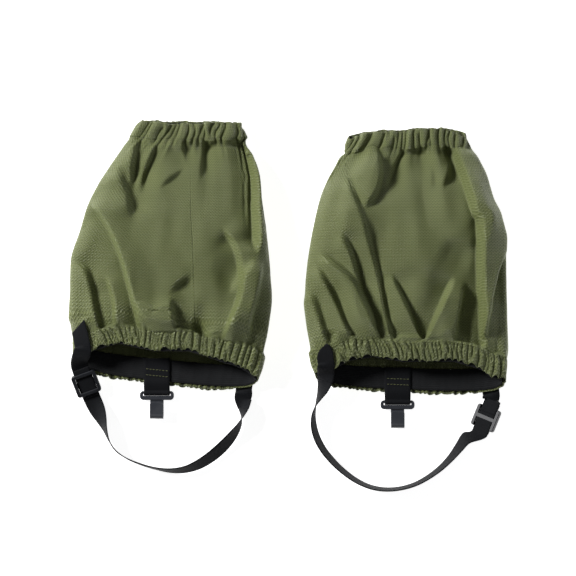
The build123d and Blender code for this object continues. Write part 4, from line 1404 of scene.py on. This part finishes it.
    def paint_plastic(self):
        """The hook and buckle keep their CAD shapes."""
        for part, material in (("lace_hook", HOOK_PLASTIC), ("slide_buckle", BUCKLE_PLASTIC)):
            mesh = NODES[self.named(part)].data
            mesh.materials.clear()
            mesh.materials.append(material)
            for face in mesh.polygons:
                face.use_smooth = True

    def build(self):
        self.build_panels()
        self.build_hems()
        self.build_elastic("top", first=0.03, final=0.86, rows=8, ring=self.rings[0],
                           seed_step=7)
        self.build_elastic("bottom", first=self.last - 0.95, final=self.last - 0.05, rows=12,
                           ring=self.rings[-1], seed_step=11)
        self.build_strap()
        self.build_tab()
        self.paint_plastic()


for side_design in (LEFT, RIGHT):
    Gaiter(side_design).build()

# --------------------------------------------------------------------- stage


def link_object(name, data, location):
    ob = bpy.data.objects.new(name, data)
    ob.location = location
    bpy.context.scene.collection.objects.link(ob)
    return ob


def build_floor():
    bm = bmesh.new()
    bmesh.ops.create_grid(bm, x_segments=2, y_segments=2, size=3.0)
    mesh = bpy.data.meshes.new("floor")
    bm.to_mesh(mesh)
    bm.free()
    floor = link_object("floor", mesh, (0, 0, -0.0004))
    pale = Mat("pale_floor")
    pale.set({"Base Color": (0.93, 0.93, 0.93),
              "Roughness": 0.9,
              "Specular IOR Level": 0.1,
              "Emission Color": (1.0, 1.0, 1.0),
              "Emission Strength": 0.88})
    mesh.materials.append(pale.material)


def disk_light(name, location, size, power, colour=(1, 1, 1)):
    """Round area light aimed at the origin."""
    light = bpy.data.lights.new(name, "AREA")
    light.shape = "DISK"
    light.size = size
    light.energy = power
    light.color = colour
    ob = link_object(name, light, location)
    aim = Vector((0, 0, 0)) - Vector(location)
    ob.rotation_euler = aim.to_track_quat("-Z", "Y").to_euler()


def build_world():
    studio = bpy.data.worlds.new("studio")
    studio.use_nodes = True
    background = studio.node_tree.nodes["Background"]
    background.inputs["Color"].default_value = (1, 1, 1, 1)
    background.inputs["Strength"].default_value = 0.07
    bpy.context.scene.world = studio
    bpy.context.scene.view_settings.view_transform = "Standard"


def build_camera():
    """Straight down from above the pair."""
    data = bpy.data.cameras.new("camera")
    data.lens = 148.1
    data.sensor_width = 36.0
    data.clip_start, data.clip_end = 0.1, 20.0
    location = (0.0005 + SHIFT[0] * MM, 0.0166 + SHIFT[1] * MM, 2.2)
    bpy.context.scene.camera = link_object("camera", data, location)


build_floor()
disk_light("key", location=(-2.3, 1.15, 1.65), size=0.75, power=119)
disk_light("side", location=(1.9, 0.1, 0.45), size=0.6, power=6.5, colour=(0.94, 0.97, 1.0))
disk_light("top", location=(0.0, 0.2, 2.6), size=1.2, power=2)
build_world()
build_camera()

bpy.context.view_layer.update()
